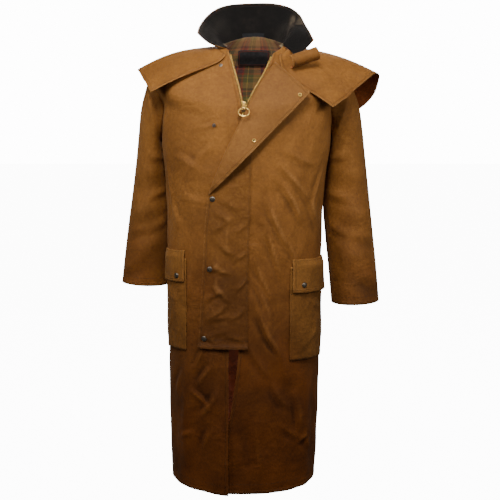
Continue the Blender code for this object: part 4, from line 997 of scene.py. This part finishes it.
u, v = grid(FLAP_COLUMNS, FLAP_LOWER_ROWS)
flap_z = mix(FLAP_BOTTOM, FLAP_TURN, v)
free_x, seam_x = FLAP_EDGES(flap_z)
flap_x = mix(free_x, seam_x, u)
pucker = np.maximum(PUCKER_GAIN * crease_height(flap_x, flap_z, FLAP_PUCKERS), -PUCKER_SINK)
pucker = pucker * ease(u / PUCKER_FROM_EDGE) * ease((FLAP_TURN - flap_z) / PUCKER_FROM_TURN)
flare = FLAP_FLARE * ease((FLAP_BOTTOM + FLARE_HEIGHT - flap_z) / FLARE_HEIGHT)
lower_points = on_front(flap_x, flap_z, FLAP_LIFT + pucker + flare)
u, v = grid(FLAP_COLUMNS, FLAP_UPPER_ROWS)
flap_points = np.concatenate((lower_points[:-1], lapel_points(v, 1 - u)))
flap_creases = np.concatenate((pucker[:-1], np.zeros_like(u)))
# Painted shade: a darker copy of the waxed cotton for the flap, with a little less of the skirt's painted
# shade.
FLAP_WAX_SHADED = waxed_cotton("waxed_cotton_flap_shaded", FLAP_SHADED_TONES, WORN_EDGE, run=0.88)
FACING = waxed_cotton("waxed_cotton_facing", FACING_TONES, WORN_FACING, 0.66)
storm_flap = cloth_shell("storm_flap", flap_points, CLOTH, (FLAP_WAX_SHADED, FACING), ("left", "bottom", "top"),
                         ("right",), creased=flap_creases)


# Pockets: patch bags on the fronts with flaps, cut from the same waxed cotton. The bag
# stands off a little in the middle, and the flap springs at its lower edge.
Pocket = namedtuple(
    "Pocket", "side inner outer top bottom flap_top flap_bottom tilt full spring snap_angle snap_z"
)
POCKETS = (
    Pocket("left", 32.0, 86.0, -0.5995, -0.8535, -0.5795, -0.6690, 0.009, 0.006, 0.004, 42.0, -0.648),
    Pocket("right", -88.0, -44.0, -0.580, -0.830, -0.559, -0.644, 0.010, 0.003, 0.0015, -51.8, -0.6266),
)
POCKET_FLAP_OVERHANG, POCKET_CUT = 1.6, {"left": 0.177, "right": 0.145}
# Painted light: the pockets are a lighter copy of the waxed cotton.
POCKET_LIT_TONES = ((0.150, 0.062, 0.012), (0.205, 0.088, 0.017), (0.265, 0.118, 0.025))
POCKET_COLUMNS, POCKET_ROWS, POCKET_FLAP_ROWS, POCKET_HEM = 40, 46, 24, 0.006
POCKET_CURVE, FLAP_RISE_OVER, FLAP_FULL_OVER = 0.5, 0.2, 0.25
BAG_FULL_SHIFT, BAG_CREASE_TOP, BAG_CREASE_OVER = 0.12, 0.72, 0.1
# Creases of a bag: start and end by shares across and up, bow, half-width, height
BAG_CREASES = (
    (0.10, 0.10, 0.60, 0.35, 0.02, 0.050, 0.0028),
    (0.30, 0.62, 0.86, 0.48, -0.02, 0.055, 0.0030),
    (0.14, 0.46, 0.44, 0.74, 0.02, 0.050, 0.0024),
    (0.62, 0.08, 0.90, 0.30, 0.02, 0.045, 0.0026),
    (0.46, 0.20, 0.52, 0.50, 0.03, 0.050, 0.0020),
)


def pocket_full(pocket, u):
    """How far the middle of a pocket stands off the coat."""
    return pocket.full * np.sin(math.pi * np.clip(u, 0, 1)) ** POCKET_CURVE


def pocket_level(pocket, u, level):
    """Height on a pocket, which is set a little higher at its front end."""
    front = 1 - u if pocket.side == "left" else u
    return level + pocket.tilt * (front - 0.5)


def pocket_flap_points(pocket, u, v):
    shift = POCKET_FLAP_OVERHANG if pocket.side == "left" else -POCKET_FLAP_OVERHANG
    over_pocket = CLOTH + LAY + pocket_full(pocket, u) * ease((1 - v) / FLAP_FULL_OVER)
    lift = CLOTH + LAY + over_pocket * ease((1 - v) / FLAP_RISE_OVER) + pocket.spring * (1 - v) ** 2
    angle = mix(pocket.inner + shift, pocket.outer + shift, u)
    level = pocket_level(pocket, u, mix(pocket.flap_bottom, pocket.flap_top, v))
    return body_point(angle, level, lift)


# Painted light: a lighter copy of the waxed cotton for the pockets, with much less of the skirt's painted
# shade.
POCKET_WAX_LIT = waxed_cotton("waxed_cotton_pocket_lit", POCKET_LIT_TONES, WORN_EDGE, run=0.62)
pocket_shapes = []
for pocket in POCKETS:
    u, v = grid(POCKET_COLUMNS, POCKET_ROWS)
    full = pocket_full(pocket, u) * np.sin(math.pi * np.minimum(v + BAG_FULL_SHIFT, 1)) ** POCKET_CURVE
    creases = np.maximum(crease_height(u, v, BAG_CREASES), 0) * np.sin(math.pi * u)
    creases = creases * ease((BAG_CREASE_TOP - v) / BAG_CREASE_OVER)
    full = full + creases
    level = pocket_level(pocket, u, mix(pocket.bottom, pocket.top, v))
    bag_points = body_point(mix(pocket.inner, pocket.outer, u), level, CLOTH + LAY + full)
    bag = cloth_shell(f"pocket_{pocket.side}", bag_points, CLOTH, (POCKET_WAX_LIT, REVERSE), ("top",),
                      ("left", "right", "bottom"), turned=POCKET_HEM, creased=creases)
    u, v = grid(POCKET_COLUMNS, POCKET_FLAP_ROWS)
    over_points = pocket_flap_points(pocket, u, v)
    over = cloth_shell(f"pocket_flap_{pocket.side}", over_points, CLOTH, (POCKET_WAX_LIT, REVERSE),
                       ("left", "right", "bottom"), ("top",))
    pocket_shapes.append((bag_points, over_points))


# Lining: a brushed woven check inside the back, in a soft roll below the neck seam.
# It has its own plain sett of green, plum and tan with red and yellow lines.
LINING = 0.001
LINING_BOTTOM, LINING_SEAM, LINING_LAY = -0.470, 6.0, 0.0018
LINING_PUFF, LINING_PUFF_FROM, LINING_FRONT = 0.006, -0.060, 58.0
LINING_COLUMNS, LINING_STEPS, SETT, TWILL = 110, 80, 0.074, 0.0022
LINING_RISE, LINING_RISE_FROM, LINING_RISE_OVER, LINING_LEAN = 0.0110, 0.020, 0.018, 0.35
ROLL_BROWN_FROM, ROLL_TOP_BROWN, LINING_FLUFF = -0.036, (0.120, 0.055, 0.026, 1), (0.14, 0.09, 0.05, 1)
GATHER, GATHER_OVER, NECK_CLEAR, NECK_STEP = 0.0006, 0.02, 0.002, 0.006
SETT_STRIPES = (
    (0.00, (0.240, 0.125, 0.040)),
    (0.16, (0.080, 0.078, 0.022)),
    (0.34, (0.340, 0.210, 0.045)),
    (0.37, (0.080, 0.078, 0.022)),
    (0.50, (0.200, 0.034, 0.018)),
    (0.57, (0.060, 0.020, 0.022)),
    (0.74, (0.280, 0.050, 0.022)),
    (0.80, (0.060, 0.020, 0.022)),
    (0.90, (0.240, 0.125, 0.040)),
)


def lining_puff(level):
    """The lining stands off the back in a soft roll below the neck seam."""
    climb = ease((level - LINING_PUFF_FROM) / (NECK - LINING_PUFF_FROM))
    return LINING_PUFF * np.sin(math.pi * climb) ** 2


def woven_check():
    """Brushed twill, with the stripes of the sett in its warp and its weft."""
    made = Finish("tartan_lining")
    across, upward = made.cut_axes()
    warp = made.ramp(made.repeat(across, SETT), SETT_STRIPES, constant=True)
    weft = made.ramp(made.repeat(upward, SETT), SETT_STRIPES, constant=True)
    over = made.spread(made.repeat(made.math("ADD", across, upward), TWILL), 0.35, 0.65)
    colour = made.blend(over, warp, weft)
    fluff = made.noise(150.0, 4.0, 0.7)
    colour = made.blend(made.spread(fluff, 0.3, 0.7, 0.0, 0.25), colour, LINING_FLUFF)
    # Up the roll to the neck, the check is blended towards a flat brown.
    worn = made.spread(made.height(), ROLL_BROWN_FROM, NECK, 0.0, 0.45)
    colour = made.blend(worn, colour, ROLL_TOP_BROWN)
    brushed = made.relief(over, 0.0003, 0.5, made.relief(fluff, 0.0006, 0.4))
    return made.set(base_color=colour, normal=brushed, roughness=0.92, specular_ior_level=0.15,
                    sheen_weight=0.15)


lining_levels = np.linspace(LINING_BOTTOM, NECK - NECK_CLEAR, LINING_STEPS + 1)
level = np.repeat(lining_levels[:, None], LINING_COLUMNS + 1, axis=1)
limit = armhole_limit(level, ARMHOLE_BACK) + LINING_SEAM
limit = mix(limit, LINING_FRONT, ease((level - SHOULDER) / (NECK - SHOULDER)))
angle = mix(limit, 360 - limit, np.linspace(0, 1, LINING_COLUMNS + 1)[None])
gathers = GATHER * np.sin(angle * 0.55 + 4 * np.sin(angle * 0.11))
gathers = gathers * ease((level - LINING_PUFF_FROM) / GATHER_OVER)
lining_points = body_point(angle, level, -CLOTH - LINING_LAY - lining_puff(level) + gathers)
climbing = unit(body_point(angle, NECK) - body_point(angle, NECK - NECK_STEP))
climbing = climbing + np.array((0, 0, LINING_LEAN))
risen = LINING_RISE * ease((level - NECK + LINING_RISE_FROM) / LINING_RISE_OVER)
lining_points = lining_points + climbing * risen[..., None]
TARTAN = woven_check()
lining = cloth_shell("lining_back", lining_points, LINING, (TARTAN,), (), ("top",))


# Neck label: a plain dark woven label with a thin rust border, sewn on the roll of the lining.
# It is a ribbed tape that lies a little off the cloth.
LABEL_LAY, LABEL_COLUMNS, LABEL_ROWS = 0.0022, 48, 16
LABEL_X, LABEL_WIDTH, LABEL_TOP, LABEL_BOTTOM = 0.022, 0.090, -0.027, -0.054
TAPE_RIB, TAPE_DUST, LABEL_LINE = 0.0012, 2.4, 0.0032


def woven_tape(name, ground, line=None):
    """Narrow ribbed tape, with a thin woven line inside its edge where one is given."""
    made = Finish(name)
    across, _ = made.cut_axes()
    rib = made.wave(across, TAPE_RIB)
    dust = made.noise(90.0, 4.0, 0.6)
    dusty = (*(TAPE_DUST * c for c in ground), 1)
    colour = made.blend(made.spread(dust, 0.35, 0.7, 0.0, 0.5), (*ground, 1), dusty)
    if line:
        aside = made.away(made.stored("hem"), LABEL_LINE)
        colour = made.blend(made.spread(aside, 0.0003, 0.0009, 0.9, 0.0), colour, (*line, 1))
    ribbed = made.relief(rib, 0.0002, 0.6, made.relief(dust, 0.0005, 0.3))
    return made.set(base_color=colour, normal=ribbed, roughness=0.85, specular_ior_level=0.25)


u, v = grid(LABEL_COLUMNS, LABEL_ROWS)
level = mix(LABEL_BOTTOM, LABEL_TOP, v)
label_x = LABEL_X + mix(LABEL_WIDTH / 2, -LABEL_WIDTH / 2, u)
depth = CLOTH + LINING_LAY + lining_puff(level) + LINING + LABEL_LAY
label_points = body_point(180 - front_angle(label_x, level), level, -depth)
LABEL_TAPE = woven_tape("label_tape", (0.012, 0.010, 0.010), (0.130, 0.022, 0.008))
label = cloth_shell("neck_label", label_points, LINING, (LABEL_TAPE,), ("left", "right", "bottom", "top"))


# Hanging loop: a short black tape across the back of the collar's root, sewn down at its ends.
# It lies flat on the corduroy.
TAPE, LOOP_COLUMNS, LOOP_ROWS = 0.001, 60, 10
LOOP_HALF_ANGLE, LOOP_LOW, LOOP_HIGH = 18.0, 0.02, 0.17

u, v = grid(LOOP_COLUMNS, LOOP_ROWS)
collar_span = COLLAR[-1].neck_angle - COLLAR[0].neck_angle
middle, half = (-180 - COLLAR[0].neck_angle) / collar_span, LOOP_HALF_ANGLE / collar_span
loop_points, _ = collar_points(mix(middle - half, middle + half, u), mix(LOOP_LOW, LOOP_HIGH, v))
loop_points = loop_points - surface_normals(loop_points, False) * 2 * (COLLAR_PLY + GAP)
BLACK_TAPE = woven_tape("black_tape", (0.004, 0.004, 0.0045))
loop = cloth_shell("hanging_loop", loop_points, TAPE, (BLACK_TAPE,), ("left", "right", "bottom", "top"))


# Zip: olive tapes under the front edges, with brass teeth along them that stand open
# above the slider and mesh below it. The teeth are set out by geometry nodes.
ZIP_BOTTOM, TAPE_UNDER, TAPE_PROUD = -0.690, 0.009, 0.004
ZIP_COLUMNS, ZIP_ROWS, TOOTH_STEPS = 8, 150, 160
SLIDER_X, SLIDER_Z = -0.0045, -0.168
TOOTH_PITCH, TOOTH_SIZE = 0.0030, (0.0019, 0.0050, 0.0030)
TOOTH_IN, TOOTH_SINK = 0.0034, 0.0026
# Runs of teeth: from the lower stop to the slider, and from its mouths to the neck
TOOTH_RUNS = ((ZIP_BOTTOM + 0.002, SLIDER_Z + 0.026), (SLIDER_Z + 0.040, NECK - 0.004))
UNIT_PIECE = {"Segments": 6, "Rings": 4, "Vertices": 8, "Radius": 0.5, "Depth": 1.0}


def brass(name, colour, worn, rough):
    """Cast metal with a fine grain, tarnished in specks."""
    made = Finish(name)
    tarnish = made.noise(420.0, 4.0, 0.6)
    shade = made.blend(made.spread(tarnish, 0.35, 0.68), (*colour, 1), (*worn, 1))
    dull = made.spread(tarnish, 0.3, 0.7, rough - 0.07, rough + 0.10)
    grain = made.relief(made.noise(900.0, 2.0, 0.5), 0.0001, 0.35)
    return made.set(base_color=shade, roughness=dull, normal=grain, metallic=0.75)


BRASS = brass("brass", (0.95, 0.62, 0.17), (0.66, 0.40, 0.10), 0.28)
ZIP_TAPE = woven_tape("zip_tape", (0.075, 0.050, 0.020))


def tape_points(side):
    u, v = grid(ZIP_COLUMNS, ZIP_ROWS)
    level = mix(ZIP_BOTTOM, NECK - NECK_CLEAR, v)
    right_x, left_x = FRONT_EDGE(level)
    x = mix(left_x - TAPE_PROUD, left_x + TAPE_UNDER, u)
    if side == "right":
        x = mix(right_x - TAPE_UNDER, right_x + TAPE_PROUD, u)
    return body_point(front_angle(x, level), level, -CLOTH - LAY)


def set_out(name, lines, facings, pitch, size, shape, finish):
    """Small pieces set out along lines by geometry nodes, each turned to its line and its cloth."""
    host = bpy.data.meshes.new(name)
    counts = np.cumsum([0, *(len(line) for line in lines)])
    steps = [(i, i + 1) for start, end in zip(counts[:-1], counts[1:]) for i in range(start, end - 1)]
    host.from_pydata(np.concatenate(lines).tolist(), steps, [])
    outward = host.attributes.new("facing", "FLOAT_VECTOR", "POINT")
    outward.data.foreach_set("vector", np.concatenate(facings).ravel())
    made = bpy.data.objects.new(name, host)
    scene.collection.objects.link(made)
    tree = bpy.data.node_groups.new(name, "GeometryNodeTree")
    face = tree.interface
    face.new_socket("Lines", in_out="INPUT", socket_type="NodeSocketGeometry")
    spacing = face.new_socket("Spacing", in_out="INPUT", socket_type="NodeSocketFloat")
    sides = face.new_socket("Piece size", in_out="INPUT", socket_type="NodeSocketVector")
    face.new_socket("Pieces", in_out="OUTPUT", socket_type="NodeSocketGeometry")
    add, link = tree.nodes.new, tree.links.new
    given, result = add("NodeGroupInput"), add("NodeGroupOutput")
    curve, resample = add("GeometryNodeMeshToCurve"), add("GeometryNodeResampleCurve")
    place = add("GeometryNodeInstanceOnPoints")
    resample.mode = "LENGTH"
    link(given.outputs["Lines"], curve.inputs[0])
    link(curve.outputs[0], resample.inputs["Curve"])
    link(given.outputs["Spacing"], resample.inputs["Length"])
    link(resample.outputs[0], place.inputs["Points"])
    piece = add(shape)
    for label, value in UNIT_PIECE.items():
        if label in piece.inputs:
            piece.inputs[label].default_value = value
    link(piece.outputs["Mesh"], place.inputs["Instance"])
    link(given.outputs["Piece size"], place.inputs["Scale"])
    stored, tangent = add("GeometryNodeInputNamedAttribute"), add("GeometryNodeInputTangent")
    stored.data_type = "FLOAT_VECTOR"
    stored.inputs["Name"].default_value = "facing"
    stand, turn = add("FunctionNodeAlignRotationToVector"), add("FunctionNodeAlignRotationToVector")
    stand.axis, turn.axis, turn.pivot_axis = "Z", "X", "Z"
    link(stored.outputs["Attribute"], stand.inputs["Vector"])
    link(stand.outputs[0], turn.inputs["Rotation"])
    link(tangent.outputs[0], turn.inputs["Vector"])
    link(turn.outputs[0], place.inputs["Rotation"])
    real, paint = add("GeometryNodeRealizeInstances"), add("GeometryNodeSetMaterial")
    paint.inputs["Material"].default_value = finish
    link(place.outputs[0], real.inputs[0])
    link(real.outputs[0], paint.inputs[0])
    link(paint.outputs[0], result.inputs[0])
    rows = made.modifiers.new("set_out", "NODES")
    rows.node_group = tree
    rows[spacing.identifier] = pitch
    rows[sides.identifier] = size
    bpy.context.view_layer.update()
    mesh = bpy.data.meshes.new_from_object(made.evaluated_get(bpy.context.evaluated_depsgraph_get()))
    made.modifiers.clear()
    made.data = mesh
    mesh.shade_smooth()
    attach(made, "coat")
    return made


tooth_lines, tooth_facings = [], []
for side, sign in (("right", 1), ("left", -1)):
    tape = cloth_shell(f"zip_tape_{side}", tape_points(side), TAPE, (ZIP_TAPE,))
    for low, high in TOOTH_RUNS:
        tooth_level = np.linspace(low, high, TOOTH_STEPS)
        right_x, left_x = FRONT_EDGE(tooth_level)
        edge_x = (right_x if side == "right" else left_x) + sign * TOOTH_IN
        tooth_angle = front_angle(edge_x, tooth_level)
        tooth_lines.append(body_point(tooth_angle, tooth_level, -TOOTH_SINK))
        tooth_facings.append(body_normal(tooth_angle, tooth_level))
set_out("zip_teeth", tooth_lines, tooth_facings, TOOTH_PITCH, TOOTH_SIZE, "GeometryNodeMeshCylinder",
        BRASS)


# Slider and pull: a brass slider with a bail, and a bar, two legs and a large ring that
# swing on it. They are cast, smooth and a little worn.
SLIDER_WIDTH, SLIDER_HEIGHT, SLIDER_DEPTH = 0.0105, 0.0150, 0.0050
BAIL_WIDTH, BAIL_RISE, BAIL_BAR = 0.0022, 0.0058, 0.0014
PULL_BAR, PULL_LEG_REACH, PULL_LEG_SPREAD = 0.0010, 0.0105, 0.0030
RING_HALF, RING_WIRE, PULL_TILT, RING_STEPS = 0.0140, 0.0017, 42.0, 64
BAR_SIDES, PATH_STEPS, SHARP_ANGLE = 14, 8, 50.0
BLOCK_POWER, BLOCK_ROWS, BLOCK_COLUMNS = 5.0, 20, 32
WAIST, WAIST_AT, WAIST_SPREAD, SLIDER_SUNK = 0.16, -0.1, 0.35, 0.0005


def bar(path, radius, plane, closed):
    """A round bar along a flat path, as points and faces, with its ends closed."""
    path, plane = np.array(path, float), np.array(plane, float)
    ahead = np.roll(path, -1, axis=0) - np.roll(path, 1, axis=0)
    if not closed:
        ahead[0], ahead[-1] = path[1] - path[0], path[-1] - path[-2]
    aside = unit(np.cross(unit(ahead), plane))
    turn = np.linspace(0, 2 * math.pi, BAR_SIDES + 1)[:-1][:, None]
    around = path[:, None] + radius * (np.cos(turn) * plane + np.sin(turn) * aside[:, None])
    count, sides = len(path), BAR_SIDES
    faces = []
    for i in range(count if closed else count - 1):
        for j in range(sides):
            k, m = (i + 1) % count, (j + 1) % sides
            faces.append((i * sides + j, k * sides + j, k * sides + m, i * sides + m))
    if not closed:
        faces.append(tuple(range(sides)))
        faces.append(tuple(reversed(range((count - 1) * sides, count * sides))))
    return around.reshape(-1, 3), faces


def smooth_path(points):
    """A curve through a few points."""
    table = SmoothTable(np.column_stack((np.arange(len(points)), points)))
    return table(np.linspace(0, len(points) - 1, len(points) * PATH_STEPS + 1)).T


def metal_piece(name, pieces, place, finish, body):
    """Closed shapes put into one mesh and moved to their place."""
    spots, faces, start = [], [], 0
    for points, polygons in pieces:
        spots.extend(map(tuple, points))
        faces.extend(tuple(start + i for i in polygon) for polygon in polygons)
        start += len(points)
    mesh = bpy.data.meshes.new(name)
    mesh.from_pydata(spots, [], faces)
    mesh.transform(place)
    mesh.materials.append(finish)
    mesh.shade_smooth()
    mesh.set_sharp_from_angle(angle=math.radians(SHARP_ANGLE))
    made = bpy.data.objects.new("metal_" + name, mesh)
    scene.collection.objects.link(made)
    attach(made, body)
    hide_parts(name)
    return made


def rounded_block(size):
    """A block with well-rounded edges, narrowed at its waist as a slider is."""
    rows, columns = BLOCK_ROWS, BLOCK_COLUMNS
    lat = np.linspace(-math.pi / 2, math.pi / 2, rows + 1)[1:-1, None]
    lon = np.linspace(0, 2 * math.pi, columns + 1)[None, :-1]
    ray = np.stack((np.cos(lat) * np.cos(lon), np.cos(lat) * np.sin(lon), np.sin(lat) + 0 * lon), -1)
    ray = ray / np.linalg.norm(ray, ord=BLOCK_POWER, axis=-1, keepdims=True)
    ray[..., 0] *= 1 - WAIST * np.exp(-((ray[..., 2] - WAIST_AT) / WAIST_SPREAD) ** 2)
    points = np.vstack((ray.reshape(-1, 3), (0, 0, -1), (0, 0, 1))) * np.array(size) / 2
    faces = []
    for i in range(rows - 2):
        for j in range(columns):
            k = (j + 1) % columns
            faces.append((i * columns + j, i * columns + k, (i + 1) * columns + k, (i + 1) * columns + j))
    last = (rows - 2) * columns
    for j in range(columns):
        faces.append((len(points) - 2, (j + 1) % columns, j))
        faces.append((len(points) - 1, last + j, last + (j + 1) % columns))
    return points, faces


slider_centre = on_front(SLIDER_X, SLIDER_Z) - np.array((0, SLIDER_DEPTH / 2 - SLIDER_SUNK, 0))
face = -SLIDER_DEPTH / 2
arch = [
    (0, face + BAIL_BAR, SLIDER_HEIGHT * 0.36),
    (0, face - BAIL_RISE * 0.7, SLIDER_HEIGHT * 0.30),
    (0, face - BAIL_RISE, SLIDER_HEIGHT * 0.10),
    (0, face - BAIL_RISE, -SLIDER_HEIGHT * 0.16),
    (0, face - BAIL_RISE * 0.7, -SLIDER_HEIGHT * 0.34),
    (0, face + BAIL_BAR, -SLIDER_HEIGHT * 0.40),
]
slider_shapes = (
    rounded_block((SLIDER_WIDTH, SLIDER_DEPTH, SLIDER_HEIGHT)),
    bar(smooth_path(arch), BAIL_WIDTH / 2, (1, 0, 0), False),
)
metal_piece("zip_slider", slider_shapes, Matrix.Translation(slider_centre.tolist()), BRASS, "coat")

rise = (BAIL_RISE - BAIL_WIDTH / 2) / 2
pivot = slider_centre + np.array((0, -SLIDER_DEPTH / 2 - rise, -SLIDER_HEIGHT * 0.05))
leg, reach = PULL_LEG_SPREAD, PULL_LEG_REACH
legs = [
    (-leg, 0, 0), (0, 0, 0), (leg, 0, 0), (leg, 0, -reach / 2),
    (leg, 0, -reach), (0, 0, -reach), (-leg, 0, -reach), (-leg, 0, -reach / 2),
]
turn = np.linspace(0, 2 * math.pi, RING_STEPS + 1)[:-1]
ring = np.stack((RING_HALF * np.sin(turn), 0 * turn, -reach - RING_HALF + RING_HALF * np.cos(turn)), -1)
pull_place = Matrix.Translation(pivot.tolist()) @ Matrix.Rotation(-math.radians(PULL_TILT), 4, "X")
pull_shapes = (bar(legs, PULL_BAR, (0, 1, 0), True), bar(ring, RING_WIRE, (0, 1, 0), True))
metal_piece("zip_pull", pull_shapes, pull_place, BRASS, "zip_pull")


# Snaps: dark antique caps where they are fastened, studs on the right front, and brass sockets on the
# turned-back lapel, the middle of each socket's well painted dark as shade. Each is pressed through the
# cloth.
CAP_PLACES = ((-0.0865, -0.4125), (-0.094, -0.598), (-0.110, -0.786))
STUD_PLACES = ((-0.066, -0.068), (-0.082, -0.222))
SOCKET_PLACES = ((0.94, 0.82), (0.505, 0.74))
CAP_PROFILE = ((0, 0.0032), (0.0034, 0.0030), (0.0060, 0.0020), (0.0075, 0.0007), (0.0075, 0), (0, 0))
STUD_POST = ((0, 0.0034), (0.0016, 0.0034), (0.0020, 0.0026), (0.0017, 0.0012))
STUD_PROFILE = (*STUD_POST, (0.0048, 0.0009), (0.0050, 0), (0, 0))
SOCKET_WELL = ((0, 0.0006), (0.0020, 0.0006), (0.0024, 0.0018), (0.0042, 0.0020))
SOCKET_PROFILE = (*SOCKET_WELL, (0.0054, 0.0008), (0.0054, 0), (0, 0))
SNAP_SIDES, SHADED_WELL_FACES = 36, 2
LAPEL_FACE_FROM, SOCKET_STEP, POCKET_STEP = 0.45, 0.01, 0.02
ANTIQUE = brass("antique_metal", (0.150, 0.125, 0.095), (0.045, 0.035, 0.026), 0.32)
# Painted shade: the dark colour for the middle of each socket's well.
WELL_SHADE = brass("socket_well_shade", (0.030, 0.024, 0.018), (0.012, 0.010, 0.008), 0.60)


def turned(profile):
    """A shape turned on a lathe from its top centre out and down to its bottom centre."""
    rings, sides = profile[1:-1], SNAP_SIDES
    turn = np.linspace(0, 2 * math.pi, sides + 1)[:-1]
    spots = [(0, 0, profile[0][1])]
    for radius, height in rings:
        spots.extend(np.column_stack((radius * np.cos(turn), radius * np.sin(turn), np.full(sides, height))))
    spots.append((0, 0, profile[-1][1]))
    faces = []
    for j in range(sides):
        k = (j + 1) % sides
        faces.append((0, 1 + j, 1 + k))
        for i in range(len(rings) - 1):
            upper, lower = 1 + i * sides, 1 + (i + 1) * sides
            faces.append((upper + j, lower + j, lower + k, upper + k))
        low = 1 + (len(rings) - 1) * sides
        faces.append((low + j, len(spots) - 1, low + k))
    return np.array(spots, float), faces


def facing(point, normal):
    """Place at a point, with its Z axis along the normal there."""
    stood = Vector(normal.tolist()).to_track_quat("Z", "Y").to_matrix().to_4x4()
    return Matrix.Translation(point.tolist()) @ stood


def single(value):
    return np.array([float(value)])


def on_panel(x, z, lift):
    """Place of a snap on the front, facing out of the cloth."""
    angle, level = front_place(single(x), single(z))
    return facing(body_point(angle, level, lift)[0], body_normal(angle, level)[0])


for number, (x, z) in enumerate(CAP_PLACES, 3):
    place = on_panel(x, z, FLAP_LIFT + GAP)
    metal_piece(f"flap_snap_{number}_cap", (turned(CAP_PROFILE),), place, ANTIQUE, "coat")
for number, (x, z) in enumerate(STUD_PLACES, 1):
    place = on_panel(x, z, GAP)
    metal_piece(f"flap_snap_{number}_stud", (turned(STUD_PROFILE),), place, ANTIQUE, "coat")
for number, (share, over) in enumerate(SOCKET_PLACES, 1):
    across = single(mix(LAPEL_FACE_FROM, 1.0, over))
    here = lapel_points(single(share), across)[0]
    toward_edge = lapel_points(single(share), across + SOCKET_STEP)[0] - here
    up_it = lapel_points(single(share + SOCKET_STEP), across)[0] - here
    out = unit(np.cross(toward_edge, up_it))
    out = out if out[1] < 0 else -out
    place = facing(here + out * (CLOTH + GAP), out)
    made = metal_piece(f"flap_snap_{number}_socket", (turned(SOCKET_PROFILE),), place, BRASS, "coat")
    # Painted shade: the faces in the middle of the well get the dark colour.
    made.data.materials.append(WELL_SHADE)
    for face in made.data.polygons:
        face.material_index = int(face.index % (len(SOCKET_PROFILE) - 1) < SHADED_WELL_FACES)
for pocket in POCKETS:
    u = single((pocket.snap_angle - pocket.inner) / (pocket.outer - pocket.inner))
    v = single((pocket.snap_z - pocket.flap_bottom) / (pocket.flap_top - pocket.flap_bottom))
    here = pocket_flap_points(pocket, u, v)[0]
    toward_side = pocket_flap_points(pocket, u + POCKET_STEP, v)[0] - here
    out = unit(np.cross(toward_side, pocket_flap_points(pocket, u, v + POCKET_STEP)[0] - here))
    place = facing(here + out * GAP, out)
    metal_piece(f"pocket_snap_{pocket.side}", (turned(CAP_PROFILE),), place, ANTIQUE, "coat")


# Sewing: rows of brown thread along every hem, flap and pocket and the seam of the yoke.
# Each stitch is a small bead of thread, set out by geometry nodes.
STITCH_PITCH, STITCH_SIZE, STITCH_PROUD = 0.0042, (0.0030, 0.0008, 0.0007), 0.0001
# How far in from its edge each row runs, and where the lapel's row starts
EDGE_ROW, SIDE_ROW, SEAM_ROW, SECOND_YOKE_ROW, SECOND_TAB_ROW = 0.0075, 0.006, 0.004, 0.010, 0.011
HEM_ROW, CUFF_ROW, FLAP_HEM_ROW, COLLAR_ROW, LAPEL_ROW_FROM = 0.028, 0.022, 0.024, 0.007, 0.5


def sewn_line(points, side, distance, inner=0.0, first=0.0):
    """A row of stitching along one side of a piece, at a distance in from it, and its facings. It is on
    the piece's other face where inner gives the wall, and it starts at the share given as first."""
    normals = surface_normals(points, False)
    if side in ("bottom", "top"):
        points, normals = points.transpose(1, 0, 2), normals.transpose(1, 0, 2)
    if side in ("right", "top"):
        points, normals = points[:, ::-1], normals[:, ::-1]
    run = np.cumsum(np.linalg.norm(np.diff(points, axis=1), axis=-1), axis=1)
    run = np.pad(run, ((0, 0), (1, 0)))
    index = np.clip((run < distance).sum(axis=1), 1, points.shape[1] - 1)
    row = np.arange(len(points))
    t = ((distance - run[row, index - 1]) / (run[row, index] - run[row, index - 1]))[:, None]
    normal = unit(mix(normals[row, index - 1], normals[row, index], t))
    line = mix(points[row, index - 1], points[row, index], t)
    kept = slice(int(first * (len(line) - 1)), None)
    if inner:
        return (line - normal * inner)[kept], -normal[kept]
    return (line + normal * STITCH_PROUD)[kept], normal[kept]


THREAD = woven_tape("thread", (0.048, 0.022, 0.008))
rows = [
    (skirt_points, "bottom", HEM_ROW), (left_points, "bottom", HEM_ROW), (right_points, "bottom", HEM_ROW),
    (yoke_points, "bottom", SEAM_ROW), (yoke_points, "bottom", SECOND_YOKE_ROW),
    (left_points, "left", EDGE_ROW), (right_points, "right", EDGE_ROW),
    (left_points, "right", SIDE_ROW), (right_points, "left", SIDE_ROW),
    (cape_points, "top", EDGE_ROW), (cape_points, "left", EDGE_ROW), (cape_points, "right", EDGE_ROW),
    (flap_points, "left", EDGE_ROW), (flap_points, "bottom", EDGE_ROW),
    (flap_points, "bottom", FLAP_HEM_ROW), (flap_points, "right", SEAM_ROW),
    (tab_points, "right", SIDE_ROW), (tab_points, "right", SECOND_TAB_ROW),
]
for points, _ in sleeve_shapes.values():
    rows.append((points, "bottom", CUFF_ROW))
for bag_points, over_points in pocket_shapes:
    rows.extend((bag_points, side, SEAM_ROW) for side in ("left", "right", "bottom"))
    rows.extend((over_points, side, EDGE_ROW) for side in ("left", "right", "bottom"))
    rows.append((over_points, "top", SEAM_ROW))
rows.append((flap_points, "left", EDGE_ROW, CLOTH + STITCH_PROUD, LAPEL_ROW_FROM))
rows.append((flap_points, "top", EDGE_ROW, CLOTH + STITCH_PROUD))
rows.append((inner_points, "top", COLLAR_ROW, COLLAR_PLY + STITCH_PROUD))
sewn = [sewn_line(*row) for row in rows]
set_out("stitching", [line for line, _ in sewn], [out for _, out in sewn], STITCH_PITCH, STITCH_SIZE,
        "GeometryNodeMeshUVSphere", THREAD)
